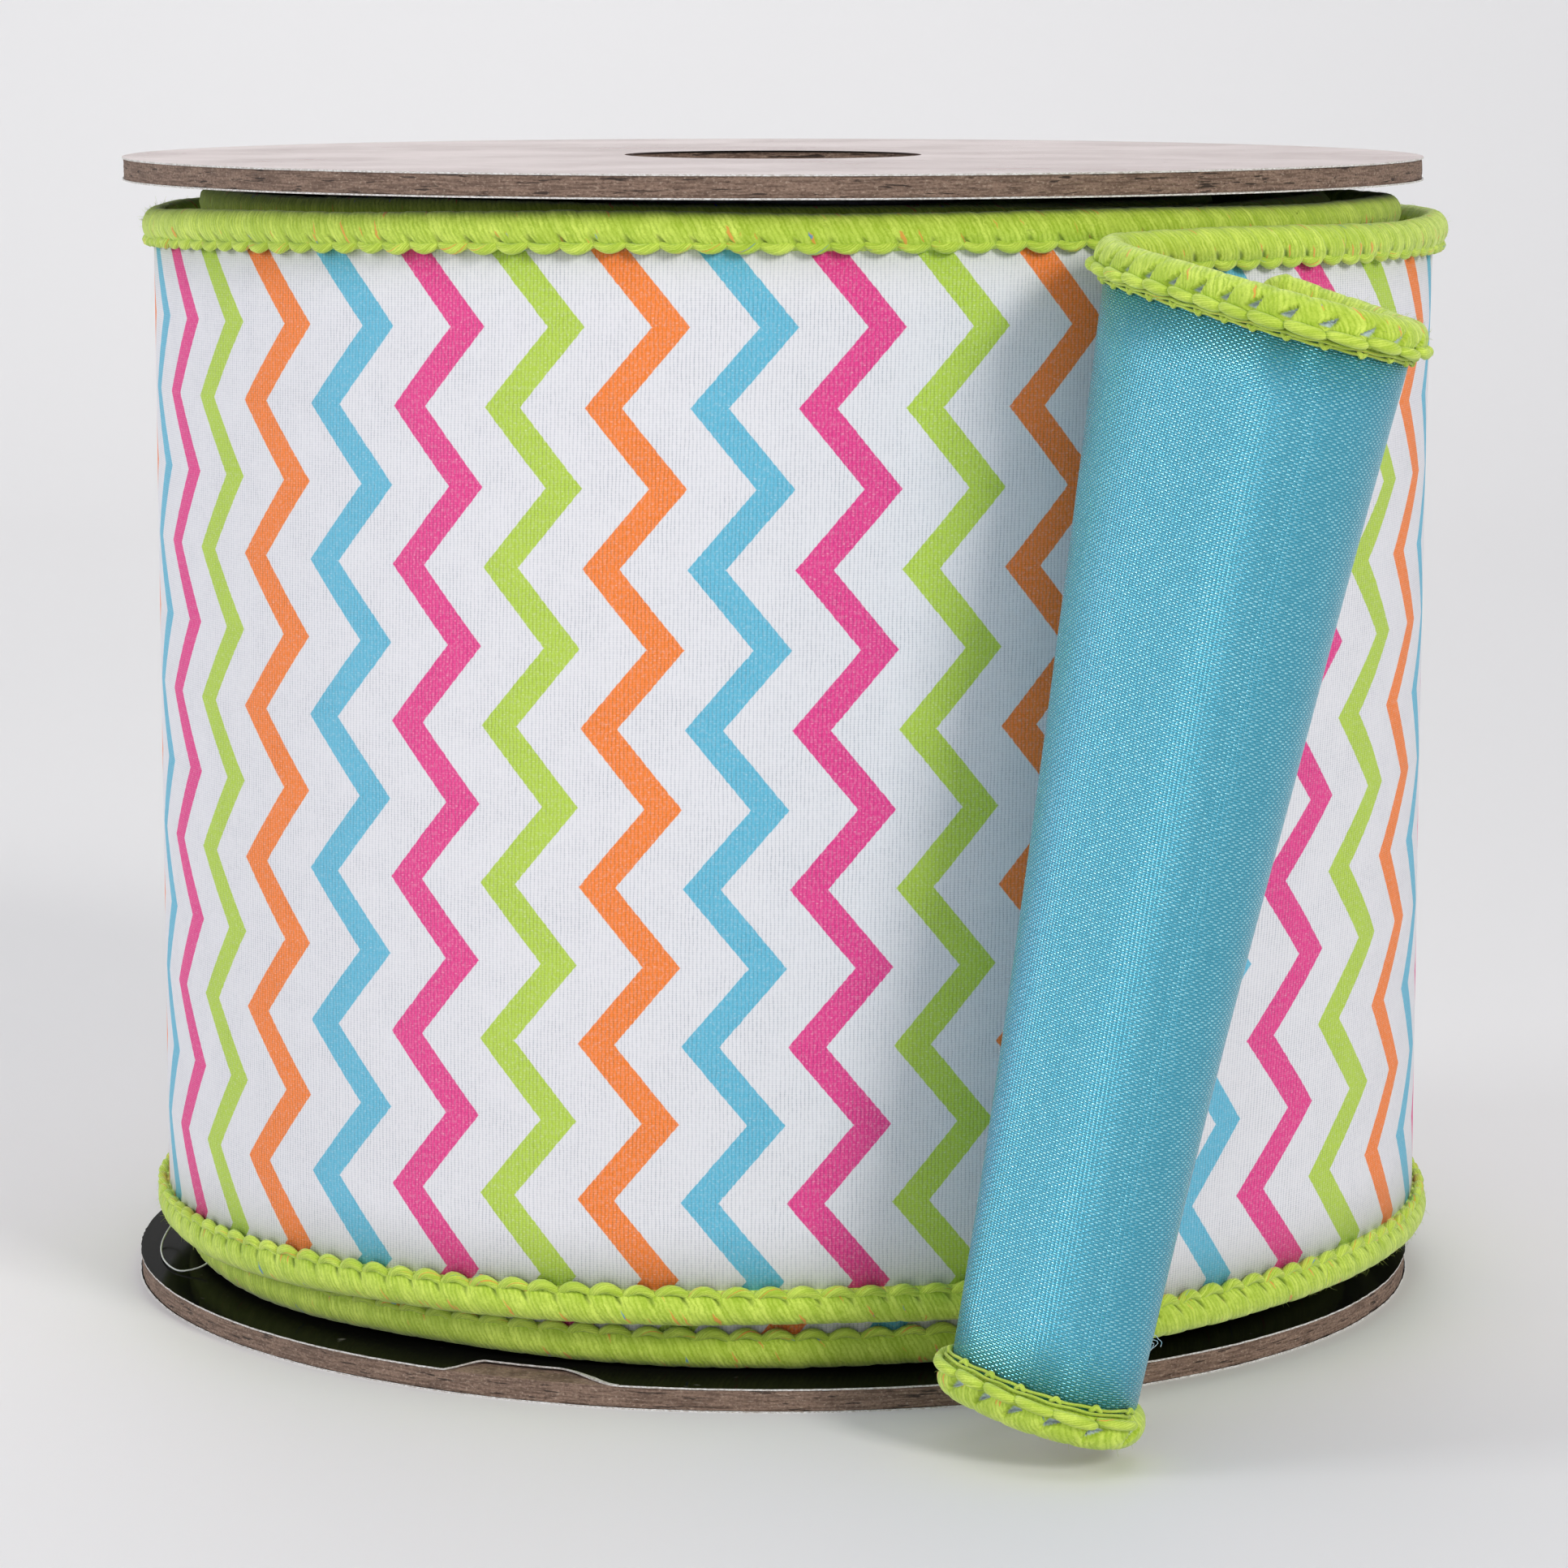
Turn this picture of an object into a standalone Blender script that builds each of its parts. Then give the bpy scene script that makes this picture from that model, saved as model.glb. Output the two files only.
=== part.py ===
"""A roll of wide zigzag ribbon on a chipboard spool, its free end folded back and curled.

Metres, +Z up. The spool stands on its lower flange, with its axis upright. Everything is modelled
about that axis, and the whole roll is then moved so that the origin is at the middle of the
footprint's box, on the table. Seen from the front (from -Y) the curled end is at the right.

The ribbon winds outwards clockwise, seen from above. A place along it is given by its winding
angle: 0 points to +X on the last, loose turn, -90 to the back of it, and each turn is 360 less.
"""
import math

import bmesh
import bpy
from mathutils import Matrix, Vector

MM = 0.001

# Spool
FLANGE_RADIUS = 64.5 * MM
FLANGE_THICKNESS = 2.25 * MM
FLANGE_GAP = 107.5 * MM
BORE_RADIUS = 14.8 * MM
TUBE_WALL = 3.9 * MM
FLANGE_STEPS = 64
TUBE_STEPS = 48

# Ribbon: a band of cloth with a thick corded edging on both of its edges
SHEET_THICKNESS = 1.0 * MM
RIBBON_WIDTH = 101.6 * MM
CORD_DIAMETER = 3.4 * MM
CLEARANCE = 0.3 * MM
CORD_RADIUS = CORD_DIAMETER / 2
CLOTH_OFFSET = CORD_DIAMETER + CLEARANCE
CLOTH_WIDTH = RIBBON_WIDTH - 2 * CLOTH_OFFSET

# The seam is where the wound turns end and the loose end starts: at the back of the roll
TURN = 360.0
SEAM = -90.0
SEAM_RAMP = 1.0
WOUND_STEPS = 60
WOUND_CORD_INSET = 0.7 * MM
INNER_EDGE_RECESS = 1.8 * MM
THINNEST_EDGING = 1.3 * MM

# The turns that show: winding angle, radius of the cloth's mid-surface, height of the lower edge
WINDING = (
    # angle, radius, height
    (-1260.0, 52.8 * MM, 6.0 * MM),
    (-1080.0, 54.2 * MM, 7.0 * MM),
    (-900.0, 55.7 * MM, 7.8 * MM),
    (-810.0, 56.5 * MM, 5.6 * MM),
    (-720.0, 57.1 * MM, 3.2 * MM),
    (-630.0, 57.7 * MM, 2.6 * MM),
    (-540.0, 58.3 * MM, 2.6 * MM),
    (-450.0, 59.4 * MM, 4.7 * MM),
    (-360.0, 61.0 * MM, 6.8 * MM),
    (-270.0, 61.4 * MM, 7.2 * MM),
    (-180.0, 61.3 * MM, 5.7 * MM),
    (-90.0, 63.2 * MM, 5.3 * MM),
    (0.0, 64.8 * MM, 5.2 * MM),
    (37.5, 65.0 * MM, 5.2 * MM),
)

# The loose end leaves the roll at the last angle of WINDING and curls forwards and over itself.
# Each row is a straight line across the cloth, from its lower edge to its upper one: how far along
# each edge it lies, and how sharply the cloth bends there. Negative follows the roll.
CURL = (
    # along the lower edge, along the upper edge, bend in degrees per mm
    (0.0, 0.0, -0.88),
    (42.3, 28.3, 0.54),
    (50.6, 30.3, 8.9),
    (55.5, 54.1, 0.27),
    (66.6, 65.0, 10.8),
    (72.7, 77.1, 5.0),
    (75.1, 99.7, 7.3),
)
WRAP_STEP = 5.5
LINES_PER_ROW = 6
CLOTH_DIVISIONS = 3

# Colours
CHIPBOARD = (0.25, 0.17, 0.13)
PRINTED_CLOTH = (0.80, 0.80, 0.82)
TURQUOISE_CLOTH = (0.13, 0.48, 0.62)
LIME_CORD = (0.46, 0.62, 0.07)
TUBE_PAPER = (0.60, 0.60, 0.61)


def start_empty():
    for thing in list(bpy.data.objects):
        bpy.data.objects.remove(thing, do_unlink=True)


def new_material(name, colour, roughness):
    material = bpy.data.materials.new(name)
    material.use_nodes = True
    shader = material.node_tree.nodes["Principled BSDF"]
    shader.inputs["Base Color"].default_value = (*colour, 1.0)
    shader.inputs["Roughness"].default_value = roughness
    shader.inputs["Metallic"].default_value = 0.0
    return material


def add_object(name, data, material, collection):
    thing = bpy.data.objects.new(name, data)
    data.materials.append(material)
    collection.objects.link(thing)
    return thing


def turned_ring(name, inner, outer, low, high, steps, material, collection):
    """A flat ring: a rectangle beside the axis, turned round it."""
    corners = [(outer, high), (outer, low), (inner, low), (inner, high)]
    mesh = bpy.data.meshes.new(name)
    mesh.from_pydata([(r, 0, z) for r, z in corners], [(0, 1), (1, 2), (2, 3), (3, 0)], [])
    ring = add_object(name, mesh, material, collection)
    turn = ring.modifiers.new("Turn", "SCREW")
    turn.axis = "Z"
    turn.angle = 2 * math.pi
    turn.steps = steps
    turn.render_steps = steps
    turn.use_merge_vertices = True
    turn.merge_threshold = 0.00001
    turn.use_smooth_shade = False
    return ring


def winding_at(angle):
    """Radius and lower edge's height of the turn at a winding angle, eased between the rows."""
    for before, after in zip(WINDING, WINDING[1:]):
        if angle <= after[0]:
            break
    part = min(max((angle - before[0]) / (after[0] - before[0]), 0.0), 1.0)
    ease = part * part * (3 - 2 * part)
    radius = before[1] + (after[1] - before[1]) * ease
    height = before[2] + (after[2] - before[2]) * ease
    return radius, height


def wound_angles():
    """Winding angles once round the outermost wound turn, short of the seam by its ramp."""
    span = TURN - SEAM_RAMP
    return [SEAM - TURN + span * step / WOUND_STEPS for step in range(WOUND_STEPS + 1)]


def cord_arc(radius, middle, low_degrees, high_degrees):
    """Points on a cord's round section, 45 degrees apart, from one angle to the other."""
    step = 45 if high_degrees > low_degrees else -45
    arc = []
    for degrees in range(low_degrees, high_degrees + step, step):
        turn = math.radians(degrees)
        arc.append((radius + CORD_RADIUS * math.cos(turn), middle + CORD_RADIUS * math.sin(turn)))
    return arc


def cloth_section(angle):
    """The wound cloth cut beside the axis: (radius, height) points, down its outer side first."""
    radius, edge = winding_at(angle)
    outer = radius + SHEET_THICKNESS / 2
    inner = BORE_RADIUS + TUBE_WALL + CLEARANCE
    low = edge + CLOTH_OFFSET
    high = low + CLOTH_WIDTH
    return [(outer, high), (outer, low), (inner, low), (inner, high)]


def lower_edging_section(angle):
    """The lower edging of all the turns: three round cords show, the turns inside are level."""
    radius, edge = winding_at(angle)
    top = edge + CORD_DIAMETER
    inner = BORE_RADIUS + TUBE_WALL + CLEARANCE
    points = cord_arc(radius - WOUND_CORD_INSET, edge + CORD_RADIUS, 90, -135)
    for turns_in in (1, 2):
        radius, edge = winding_at(angle - TURN * turns_in)
        edge = min(edge, top - THINNEST_EDGING)
        points += cord_arc(radius - WOUND_CORD_INSET, edge + CORD_RADIUS, -45, -135)
    level = FLANGE_THICKNESS + CLEARANCE + INNER_EDGE_RECESS
    points += [(radius - CORD_DIAMETER, level), (inner, level), (inner, top)]
    return points


def upper_edging_section(angle):
    """The upper edging of all the turns, like the lower one but the other way up."""
    radius, edge = winding_at(angle)
    bottom = edge + RIBBON_WIDTH - CORD_DIAMETER
    inner = BORE_RADIUS + TUBE_WALL + CLEARANCE
    outermost = cord_arc(radius - WOUND_CORD_INSET, edge + RIBBON_WIDTH - CORD_RADIUS, -90, 135)
    points = list(outermost)
    for turns_in in (1, 2):
        radius, edge = winding_at(angle - TURN * turns_in)
        top = max(edge + RIBBON_WIDTH, bottom + THINNEST_EDGING)
        points += cord_arc(radius - WOUND_CORD_INSET, top - CORD_RADIUS, 45, 135)
    level = FLANGE_THICKNESS + FLANGE_GAP - CLEARANCE - INNER_EDGE_RECESS
    points += [(radius - CORD_DIAMETER, level), (inner, level), (inner, bottom)]
    return points[::-1]


def wound_ring(name, section, material, collection):
    """A closed ring lofted through sections that change along the turn, with a ramp at the seam."""
    form = bmesh.new()
    loops = []
    for angle in wound_angles():
        turn = math.radians(-angle)
        loop = [form.verts.new((r * math.cos(turn), r * math.sin(turn), z)) for r, z in section(angle)]
        loops.append(loop)
    for here, there in zip(loops, loops[1:] + loops[:1]):
        count = len(here)
        for k in range(count):
            after = (k + 1) % count
            form.faces.new((here[k], there[k], there[after], here[after]))
    bmesh.ops.recalc_face_normals(form, faces=form.faces)
    mesh = bpy.data.meshes.new(name)
    form.to_mesh(mesh)
    form.free()
    return add_object(name, mesh, material, collection)


def curl_rows():
    """CURL with extra lines worked out evenly between its rows."""
    rows = [CURL[0]]
    for before, after in zip(CURL, CURL[1:]):
        for step in range(1, LINES_PER_ROW + 1):
            part = step / LINES_PER_ROW
            rows.append([a + (b - a) * part for a, b in zip(before, after)])
    return [(low * MM, high * MM, bend / MM) for low, high, bend in rows]


def ruling_lines():
    """Straight lines across the loose cloth, each as its lower point, upper point and edge direction.

    The first ones wrap the roll. From there on the flat cloth is carried along and bent about each
    line in turn, so nothing stretches.
    """
    lines = []
    last = WINDING[-1][0]
    wraps = math.ceil((last - SEAM) / WRAP_STEP)
    for step in range(wraps):
        angle = SEAM + (last - SEAM) * step / wraps
        turn = math.radians(-angle)
        radius, edge = winding_at(angle)
        low = Vector((radius * math.cos(turn), radius * math.sin(turn), edge + CLOTH_OFFSET))
        lines.append((low, low + Vector((0, 0, CLOTH_WIDTH)), Vector((0, 0, 1))))
    turn = math.radians(-last)
    radius, edge = winding_at(last)
    along = Vector((math.sin(turn), -math.cos(turn), 0))
    up = Vector((0, 0, 1))
    place = Matrix.Translation((radius * math.cos(turn), radius * math.sin(turn), edge + CLOTH_OFFSET))
    flat = place @ Matrix((along, up, along.cross(up))).transposed().to_4x4()
    rows = curl_rows()
    middles = [(low + high) / 2 for low, high, bend in rows]
    for k, (low_along, high_along, bend) in enumerate(rows):
        low = flat @ Vector((low_along, 0, 0))
        high = flat @ Vector((high_along, CLOTH_WIDTH, 0))
        across = (flat.to_3x3() @ Vector((0, 1, 0))).normalized()
        lines.append((low, high, across))
        reach = (middles[min(k + 1, len(rows) - 1)] - middles[max(k - 1, 0)]) / 2
        bent = Matrix.Rotation(math.radians(bend * reach), 4, high - low)
        flat = Matrix.Translation(low) @ bent @ Matrix.Translation(-low) @ flat
    return lines


def loose_cloth(lines, material, collection):
    """The loose end: an open surface through the lines, given its thickness."""
    form = bmesh.new()
    columns = []
    for low, high, across in lines:
        parts = [k / CLOTH_DIVISIONS for k in range(CLOTH_DIVISIONS + 1)]
        columns.append([form.verts.new(low.lerp(high, part)) for part in parts])
    for here, there in zip(columns, columns[1:]):
        for k in range(CLOTH_DIVISIONS):
            form.faces.new((here[k], here[k + 1], there[k + 1], there[k]))
    mesh = bpy.data.meshes.new("loose_end")
    form.to_mesh(mesh)
    form.free()
    cloth = add_object("loose_end", mesh, material, collection)
    wall = cloth.modifiers.new("Thickness", "SOLIDIFY")
    wall.thickness = SHEET_THICKNESS
    wall.offset = 0.0
    wall.use_even_offset = True
    return cloth


def loose_cord(name, points, material, collection):
    """A corded edging along one edge of the loose end."""
    route = bpy.data.curves.new(name, "CURVE")
    route.dimensions = "3D"
    route.bevel_depth = CORD_RADIUS
    route.bevel_resolution = 2
    route.use_fill_caps = True
    spline = route.splines.new("POLY")
    spline.points.add(len(points) - 1)
    for spot, point in zip(spline.points, points):
        spot.co = (*point, 1.0)
    return add_object(name, route, material, collection)


def stand_on_origin(collection):
    """Moves the whole roll so that the middle of its box's underside is at the origin."""
    graph = bpy.context.evaluated_depsgraph_get()
    points = []
    for thing in collection.objects:
        shape = thing.evaluated_get(graph)
        points += [vertex.co.copy() for vertex in shape.to_mesh().vertices]
        shape.to_mesh_clear()
    lowest = [min(point[axis] for point in points) for axis in range(3)]
    highest = [max(point[axis] for point in points) for axis in range(3)]
    middle = Vector(((lowest[0] + highest[0]) / 2, (lowest[1] + highest[1]) / 2, lowest[2]))
    for thing in collection.objects:
        thing.location = thing.location - middle


def build():
    start_empty()
    roll = bpy.data.collections.new("ribbon_roll")
    bpy.context.scene.collection.children.link(roll)
    chipboard = new_material("chipboard", CHIPBOARD, 0.8)
    paper = new_material("tube_paper", TUBE_PAPER, 0.7)
    printed = new_material("printed_cloth", PRINTED_CLOTH, 0.8)
    turquoise = new_material("turquoise_cloth", TURQUOISE_CLOTH, 0.5)
    lime = new_material("lime_cord", LIME_CORD, 0.85)

    top = FLANGE_THICKNESS + FLANGE_GAP
    flange = (BORE_RADIUS, FLANGE_RADIUS)
    turned_ring("flange_lower", *flange, 0.0, FLANGE_THICKNESS, FLANGE_STEPS, chipboard, roll)
    turned_ring("flange_upper", *flange, top, top + FLANGE_THICKNESS, FLANGE_STEPS, chipboard, roll)
    tube = (BORE_RADIUS, BORE_RADIUS + TUBE_WALL, FLANGE_THICKNESS + CLEARANCE, top - CLEARANCE)
    turned_ring("core_tube", *tube, TUBE_STEPS, paper, roll)

    wound_ring("wound_ribbon", cloth_section, printed, roll)
    wound_ring("wound_edging_lower", lower_edging_section, lime, roll)
    wound_ring("wound_edging_upper", upper_edging_section, lime, roll)

    lines = ruling_lines()
    loose_cloth(lines, turquoise, roll)
    aside = CLEARANCE + CORD_RADIUS
    loose_cord("loose_edging_lower", [low - across * aside for low, high, across in lines], lime, roll)
    loose_cord("loose_edging_upper", [high + across * aside for low, high, across in lines], lime, roll)
    stand_on_origin(roll)


build()
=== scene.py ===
"""A roll of wide zigzag ribbon on a chipboard spool, its free end curled forwards: the looks.

Metres, +Z up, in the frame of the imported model. The spool stands on its lower disc with its axis
upright, the camera looks along +Y, and the curled end of the ribbon is at the right.
"""
import math

import bpy
import numpy as np
from mathutils import Matrix, Vector, noise


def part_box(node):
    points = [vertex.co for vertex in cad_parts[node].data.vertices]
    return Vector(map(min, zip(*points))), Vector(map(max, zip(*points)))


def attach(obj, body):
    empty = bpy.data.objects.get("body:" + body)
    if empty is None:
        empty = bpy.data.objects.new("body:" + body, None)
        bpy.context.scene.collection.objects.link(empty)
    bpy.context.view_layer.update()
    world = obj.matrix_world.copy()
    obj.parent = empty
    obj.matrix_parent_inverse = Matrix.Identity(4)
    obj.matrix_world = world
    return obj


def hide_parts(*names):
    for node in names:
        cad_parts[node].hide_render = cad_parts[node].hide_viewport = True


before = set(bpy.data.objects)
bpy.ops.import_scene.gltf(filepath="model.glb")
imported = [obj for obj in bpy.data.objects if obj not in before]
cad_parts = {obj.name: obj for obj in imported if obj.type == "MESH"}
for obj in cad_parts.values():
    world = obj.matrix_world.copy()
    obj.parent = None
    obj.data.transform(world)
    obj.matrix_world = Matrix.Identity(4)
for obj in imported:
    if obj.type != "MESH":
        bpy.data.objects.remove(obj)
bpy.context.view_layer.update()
MM = 0.001


# The spool's two discs are die-cut from layered chipboard, and each has a skin of glossy black
# paper glued on both of its faces. The cut leaves the layers rough and the paper's white core
# showing as a ragged line at each rim, and the lower disc's upper skin is torn at the front.
DISC_LOW, DISC_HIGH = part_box("flange_lower")
TOP_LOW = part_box("flange_upper")[0]
AXIS = (DISC_LOW + DISC_HIGH) / 2
DISC_RADIUS = (DISC_HIGH.x - DISC_LOW.x) / 2
DISC_THICKNESS = DISC_HIGH.z - DISC_LOW.z
BORE_RADIUS = 14.8 * MM
RIM_STEPS = 720
BOARD_LAYERS = 9
LAYER_ROUGHNESS = 0.07 * MM
BOARD_INSET = 0.12 * MM
SKIN_THICKNESS = 0.16 * MM
SKIN_RAGGEDNESS = 0.09 * MM
TEAR_ANGLES = (-118.2, -102.3)
TEAR_DEPTH = 3.6 * MM
TEAR_LIFT = 0.28 * MM
TEAR_CURL = 0.5 * MM
BOARD_BROWN = (0.285, 0.190, 0.140, 1.0)
BOARD_DARK = (0.105, 0.063, 0.045, 1.0)
BOARD_PALE = (0.62, 0.49, 0.39, 1.0)
# painted shade for the cracks between the board's layers
BOARD_CRACK_SHADE = (0.03, 0.02, 0.016, 1.0)
PAPER_BLACK = (0.006, 0.006, 0.005, 1.0)
PAPER_DUST = (0.35, 0.33, 0.30, 1.0)
PAPER_WHITE = (0.80, 0.79, 0.77, 1.0)
PAPER_GREY = (0.46, 0.42, 0.38, 1.0)
TOP_TINT = (1.0, 0.70, 0.64, 1.0)


def give(tree, node, inputs):
    """Fills a node's inputs by name: values are set and sockets are linked."""
    for socket, value in inputs.items():
        if isinstance(value, bpy.types.NodeSocket):
            tree.links.new(value, node.inputs[socket])
        else:
            node.inputs[socket].default_value = value


def add_node(tree, kind, inputs=None, **settings):
    made = tree.nodes.new(kind)
    for name, value in settings.items():
        setattr(made, name, value)
    give(tree, made, inputs or {})
    return made


def work_out(tree, operation, *values):
    """The result of a Math node on values or sockets."""
    return add_node(tree, "ShaderNodeMath", dict(enumerate(values)), operation=operation).outputs[0]


def times(tree, first, second):
    return work_out(tree, "MULTIPLY", first, second)


def remap(tree, value, low, high, to_low=0.0, to_high=1.0):
    """A value stretched smoothly from one range to another, and held at its ends."""
    inputs = {"Value": value, "From Min": low, "From Max": high, "To Min": to_low, "To Max": to_high}
    return add_node(tree, "ShaderNodeMapRange", inputs, interpolation_type="SMOOTHSTEP").outputs[0]


def blend_colours(tree, share, first, second, how="MIX"):
    inputs = {0: share, 6: first, 7: second}
    return add_node(tree, "ShaderNodeMix", inputs, data_type="RGBA", blend_type=how).outputs[2]


def tinted(tree, first, second, value, low, high, to_low=0.0, to_high=1.0):
    """Two colours blended, the second's share following a value from one range to another."""
    return blend_colours(tree, remap(tree, value, low, high, to_low, to_high), first, second)


def fine_noise(tree, place, scale, detail=2.0, stretch=(1.0, 1.0, 1.0)):
    """Noise on a place vector in metres, at a scale in features per metre."""
    inputs = {"Vector": place, "Scale": tuple(s * scale for s in stretch)}
    moved = add_node(tree, "ShaderNodeMapping", inputs).outputs[0]
    inputs = {"Vector": moved, "Scale": 1.0, "Detail": detail, "Roughness": 0.6}
    return add_node(tree, "ShaderNodeTexNoise", inputs).outputs[0]


def object_place(tree):
    return add_node(tree, "ShaderNodeTexCoord").outputs["Object"]


def start_material(name):
    material = bpy.data.materials.new(name)
    material.use_nodes = True
    return material, material.node_tree


def finished(material, inputs):
    """A material, with its Principled shader's inputs filled."""
    tree = material.node_tree
    give(tree, tree.nodes["Principled BSDF"], inputs)
    return material


def bumped(tree, height, distance, strength=1.0):
    inputs = {"Height": height, "Distance": distance, "Strength": strength}
    return add_node(tree, "ShaderNodeBump", inputs).outputs[0]


def layered_board():
    material, tree = start_material("layered_chipboard")
    place = object_place(tree)
    layers = fine_noise(tree, place, 1000.0, 3.0, (0.35, 0.35, 5.0))
    fibres = fine_noise(tree, place, 1000.0, 4.0, (3.2, 3.2, 5.0))
    cracks = fine_noise(tree, place, 1000.0, 2.0, (0.30, 0.30, 3.2))
    crack = remap(tree, cracks, 0.625, 0.67)
    colour = tinted(tree, BOARD_DARK, BOARD_BROWN, layers, 0.34, 0.62, 0.25, 1.0)
    colour = tinted(tree, colour, BOARD_DARK, fibres, 0.30, 0.50, 0.80, 0.0)
    colour = tinted(tree, colour, BOARD_PALE, fibres, 0.54, 0.76, 0.0, 0.60)
    # painted shade: the cracks between the layers are coloured near-black where the bump also sinks them
    colour = blend_colours(tree, times(tree, crack, 0.85), colour, BOARD_CRACK_SHADE)
    height = work_out(tree, "MULTIPLY_ADD", crack, -0.8, work_out(tree, "ADD", layers, fibres))
    bump = bumped(tree, height, 0.12 * MM)
    return finished(material, {"Base Color": colour, "Normal": bump, "Roughness": 0.9})


def black_paper(name, gloss, grain_depth, bloom):
    """Glossy paper: its refraction, its grain, and the warm bloom that is seen on it slantwise."""
    material, tree = start_material(name)
    place = object_place(tree)
    grain = fine_noise(tree, place, 900.0)
    smears = fine_noise(tree, place, 45.0, 4.0)
    specks = fine_noise(tree, place, 420.0, 1.0)
    dust = times(tree, remap(tree, specks, 0.72, 0.80), 0.35)
    return finished(material, {
        "Base Color": blend_colours(tree, dust, PAPER_BLACK, PAPER_DUST),
        "Roughness": remap(tree, smears, 0.3, 0.7, 0.07, 0.15),
        "Normal": bumped(tree, grain, grain_depth, 0.35),
        "IOR": gloss,
        "Sheen Weight": bloom,
        "Sheen Tint": TOP_TINT,
    })


def paper_core():
    material, tree = start_material("torn_white_paper")
    place = object_place(tree)
    fibres = fine_noise(tree, place, 3500.0, 3.0, (1.0, 1.0, 2.0))
    colour = tinted(tree, PAPER_GREY, PAPER_WHITE, fibres, 0.35, 0.65)
    bump = bumped(tree, fibres, 0.05 * MM)
    return finished(material, {"Base Color": colour, "Normal": bump, "Roughness": 0.95})


def flat_ring(name, inner, outer, low, thickness, steps):
    """A ring about the spool's axis: two circles bridged, then drawn up to its thickness."""
    place = (AXIS.x, AXIS.y, low)
    bpy.ops.object.select_all(action="DESELECT")
    bpy.ops.mesh.primitive_circle_add(vertices=steps, radius=outer, location=place)
    ring = bpy.context.active_object
    ring.name = name
    ring.data.name = name
    bpy.ops.object.mode_set(mode="EDIT")
    bpy.ops.mesh.primitive_circle_add(vertices=steps, radius=inner, location=place)
    bpy.ops.mesh.select_all(action="SELECT")
    bpy.ops.mesh.bridge_edge_loops()
    bpy.ops.mesh.select_all(action="SELECT")
    bpy.ops.mesh.extrude_region_move(TRANSFORM_OT_translate={"value": (0.0, 0.0, thickness)})
    bpy.ops.mesh.select_all(action="SELECT")
    bpy.ops.mesh.normals_make_consistent(inside=False)
    bpy.ops.object.mode_set(mode="OBJECT")
    bpy.ops.object.transform_apply(location=True, rotation=True, scale=True)
    return ring


def select_where(thing, kind, rule):
    """Goes into edit mode with just those faces or edges selected that the rule picks."""
    bpy.ops.object.mode_set(mode="EDIT")
    bpy.ops.mesh.select_mode(type=kind)
    bpy.ops.mesh.select_all(action="DESELECT")
    bpy.ops.object.mode_set(mode="OBJECT")
    for part in thing.data.polygons if kind == "FACE" else thing.data.edges:
        part.select = rule(part)
    bpy.ops.object.mode_set(mode="EDIT")


def round_place(point):
    """A point's angle about the axis and its distance from it."""
    return math.atan2(point.y - AXIS.y, point.x - AXIS.x), math.hypot(point.x - AXIS.x, point.y - AXIS.y)


def is_outer(point):
    return round_place(point)[1] > DISC_RADIUS / 2


def put_round(point, angle, radius):
    point.x = AXIS.x + radius * math.cos(angle)
    point.y = AXIS.y + radius * math.sin(angle)


def rough_board(name, low, material):
    """The board of one disc, with its outer wall cut in layers of uneven reach."""
    low += SKIN_THICKNESS
    thickness = DISC_THICKNESS - 2 * SKIN_THICKNESS
    board = flat_ring(name, BORE_RADIUS + BOARD_INSET, DISC_RADIUS - BOARD_INSET, low, thickness, RIM_STEPS)
    bpy.ops.object.mode_set(mode="EDIT")
    for layer in range(1, BOARD_LAYERS):
        bpy.ops.mesh.select_all(action="SELECT")
        height = low + thickness * layer / BOARD_LAYERS
        bpy.ops.mesh.bisect(plane_co=(0.0, 0.0, height), plane_no=(0.0, 0.0, 1.0))
    bpy.ops.object.mode_set(mode="OBJECT")
    for vertex in board.data.vertices:
        angle, radius = round_place(vertex.co)
        if radius > DISC_RADIUS / 2:
            layer = (vertex.co.z - low) / thickness * BOARD_LAYERS
            spot = Vector((math.cos(angle) * 9, math.sin(angle) * 9, layer * 1.7))
            fine = Vector((math.cos(angle) * 60, math.sin(angle) * 60, layer * 2.3))
            reach = noise.noise(spot) + 0.8 * noise.noise(fine) - 0.3
            put_round(vertex.co, angle, radius + LAYER_ROUGHNESS * reach)
    board.data.materials.append(material)
    return board


def tear_at(angle):
    """How far the torn skin is set back at an angle, from 0 to 1: steep at its left end."""
    start, end = TEAR_ANGLES
    part = (math.degrees(angle) - start) / (end - start)
    if not 0.0 < part < 1.0:
        return 0.0
    rise = min(part / 0.14, 1.0)
    fall = min((1.0 - part) / 0.42, 1.0)
    return rise * rise * (3 - 2 * rise) * fall * fall * (3 - 2 * fall)


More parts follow.
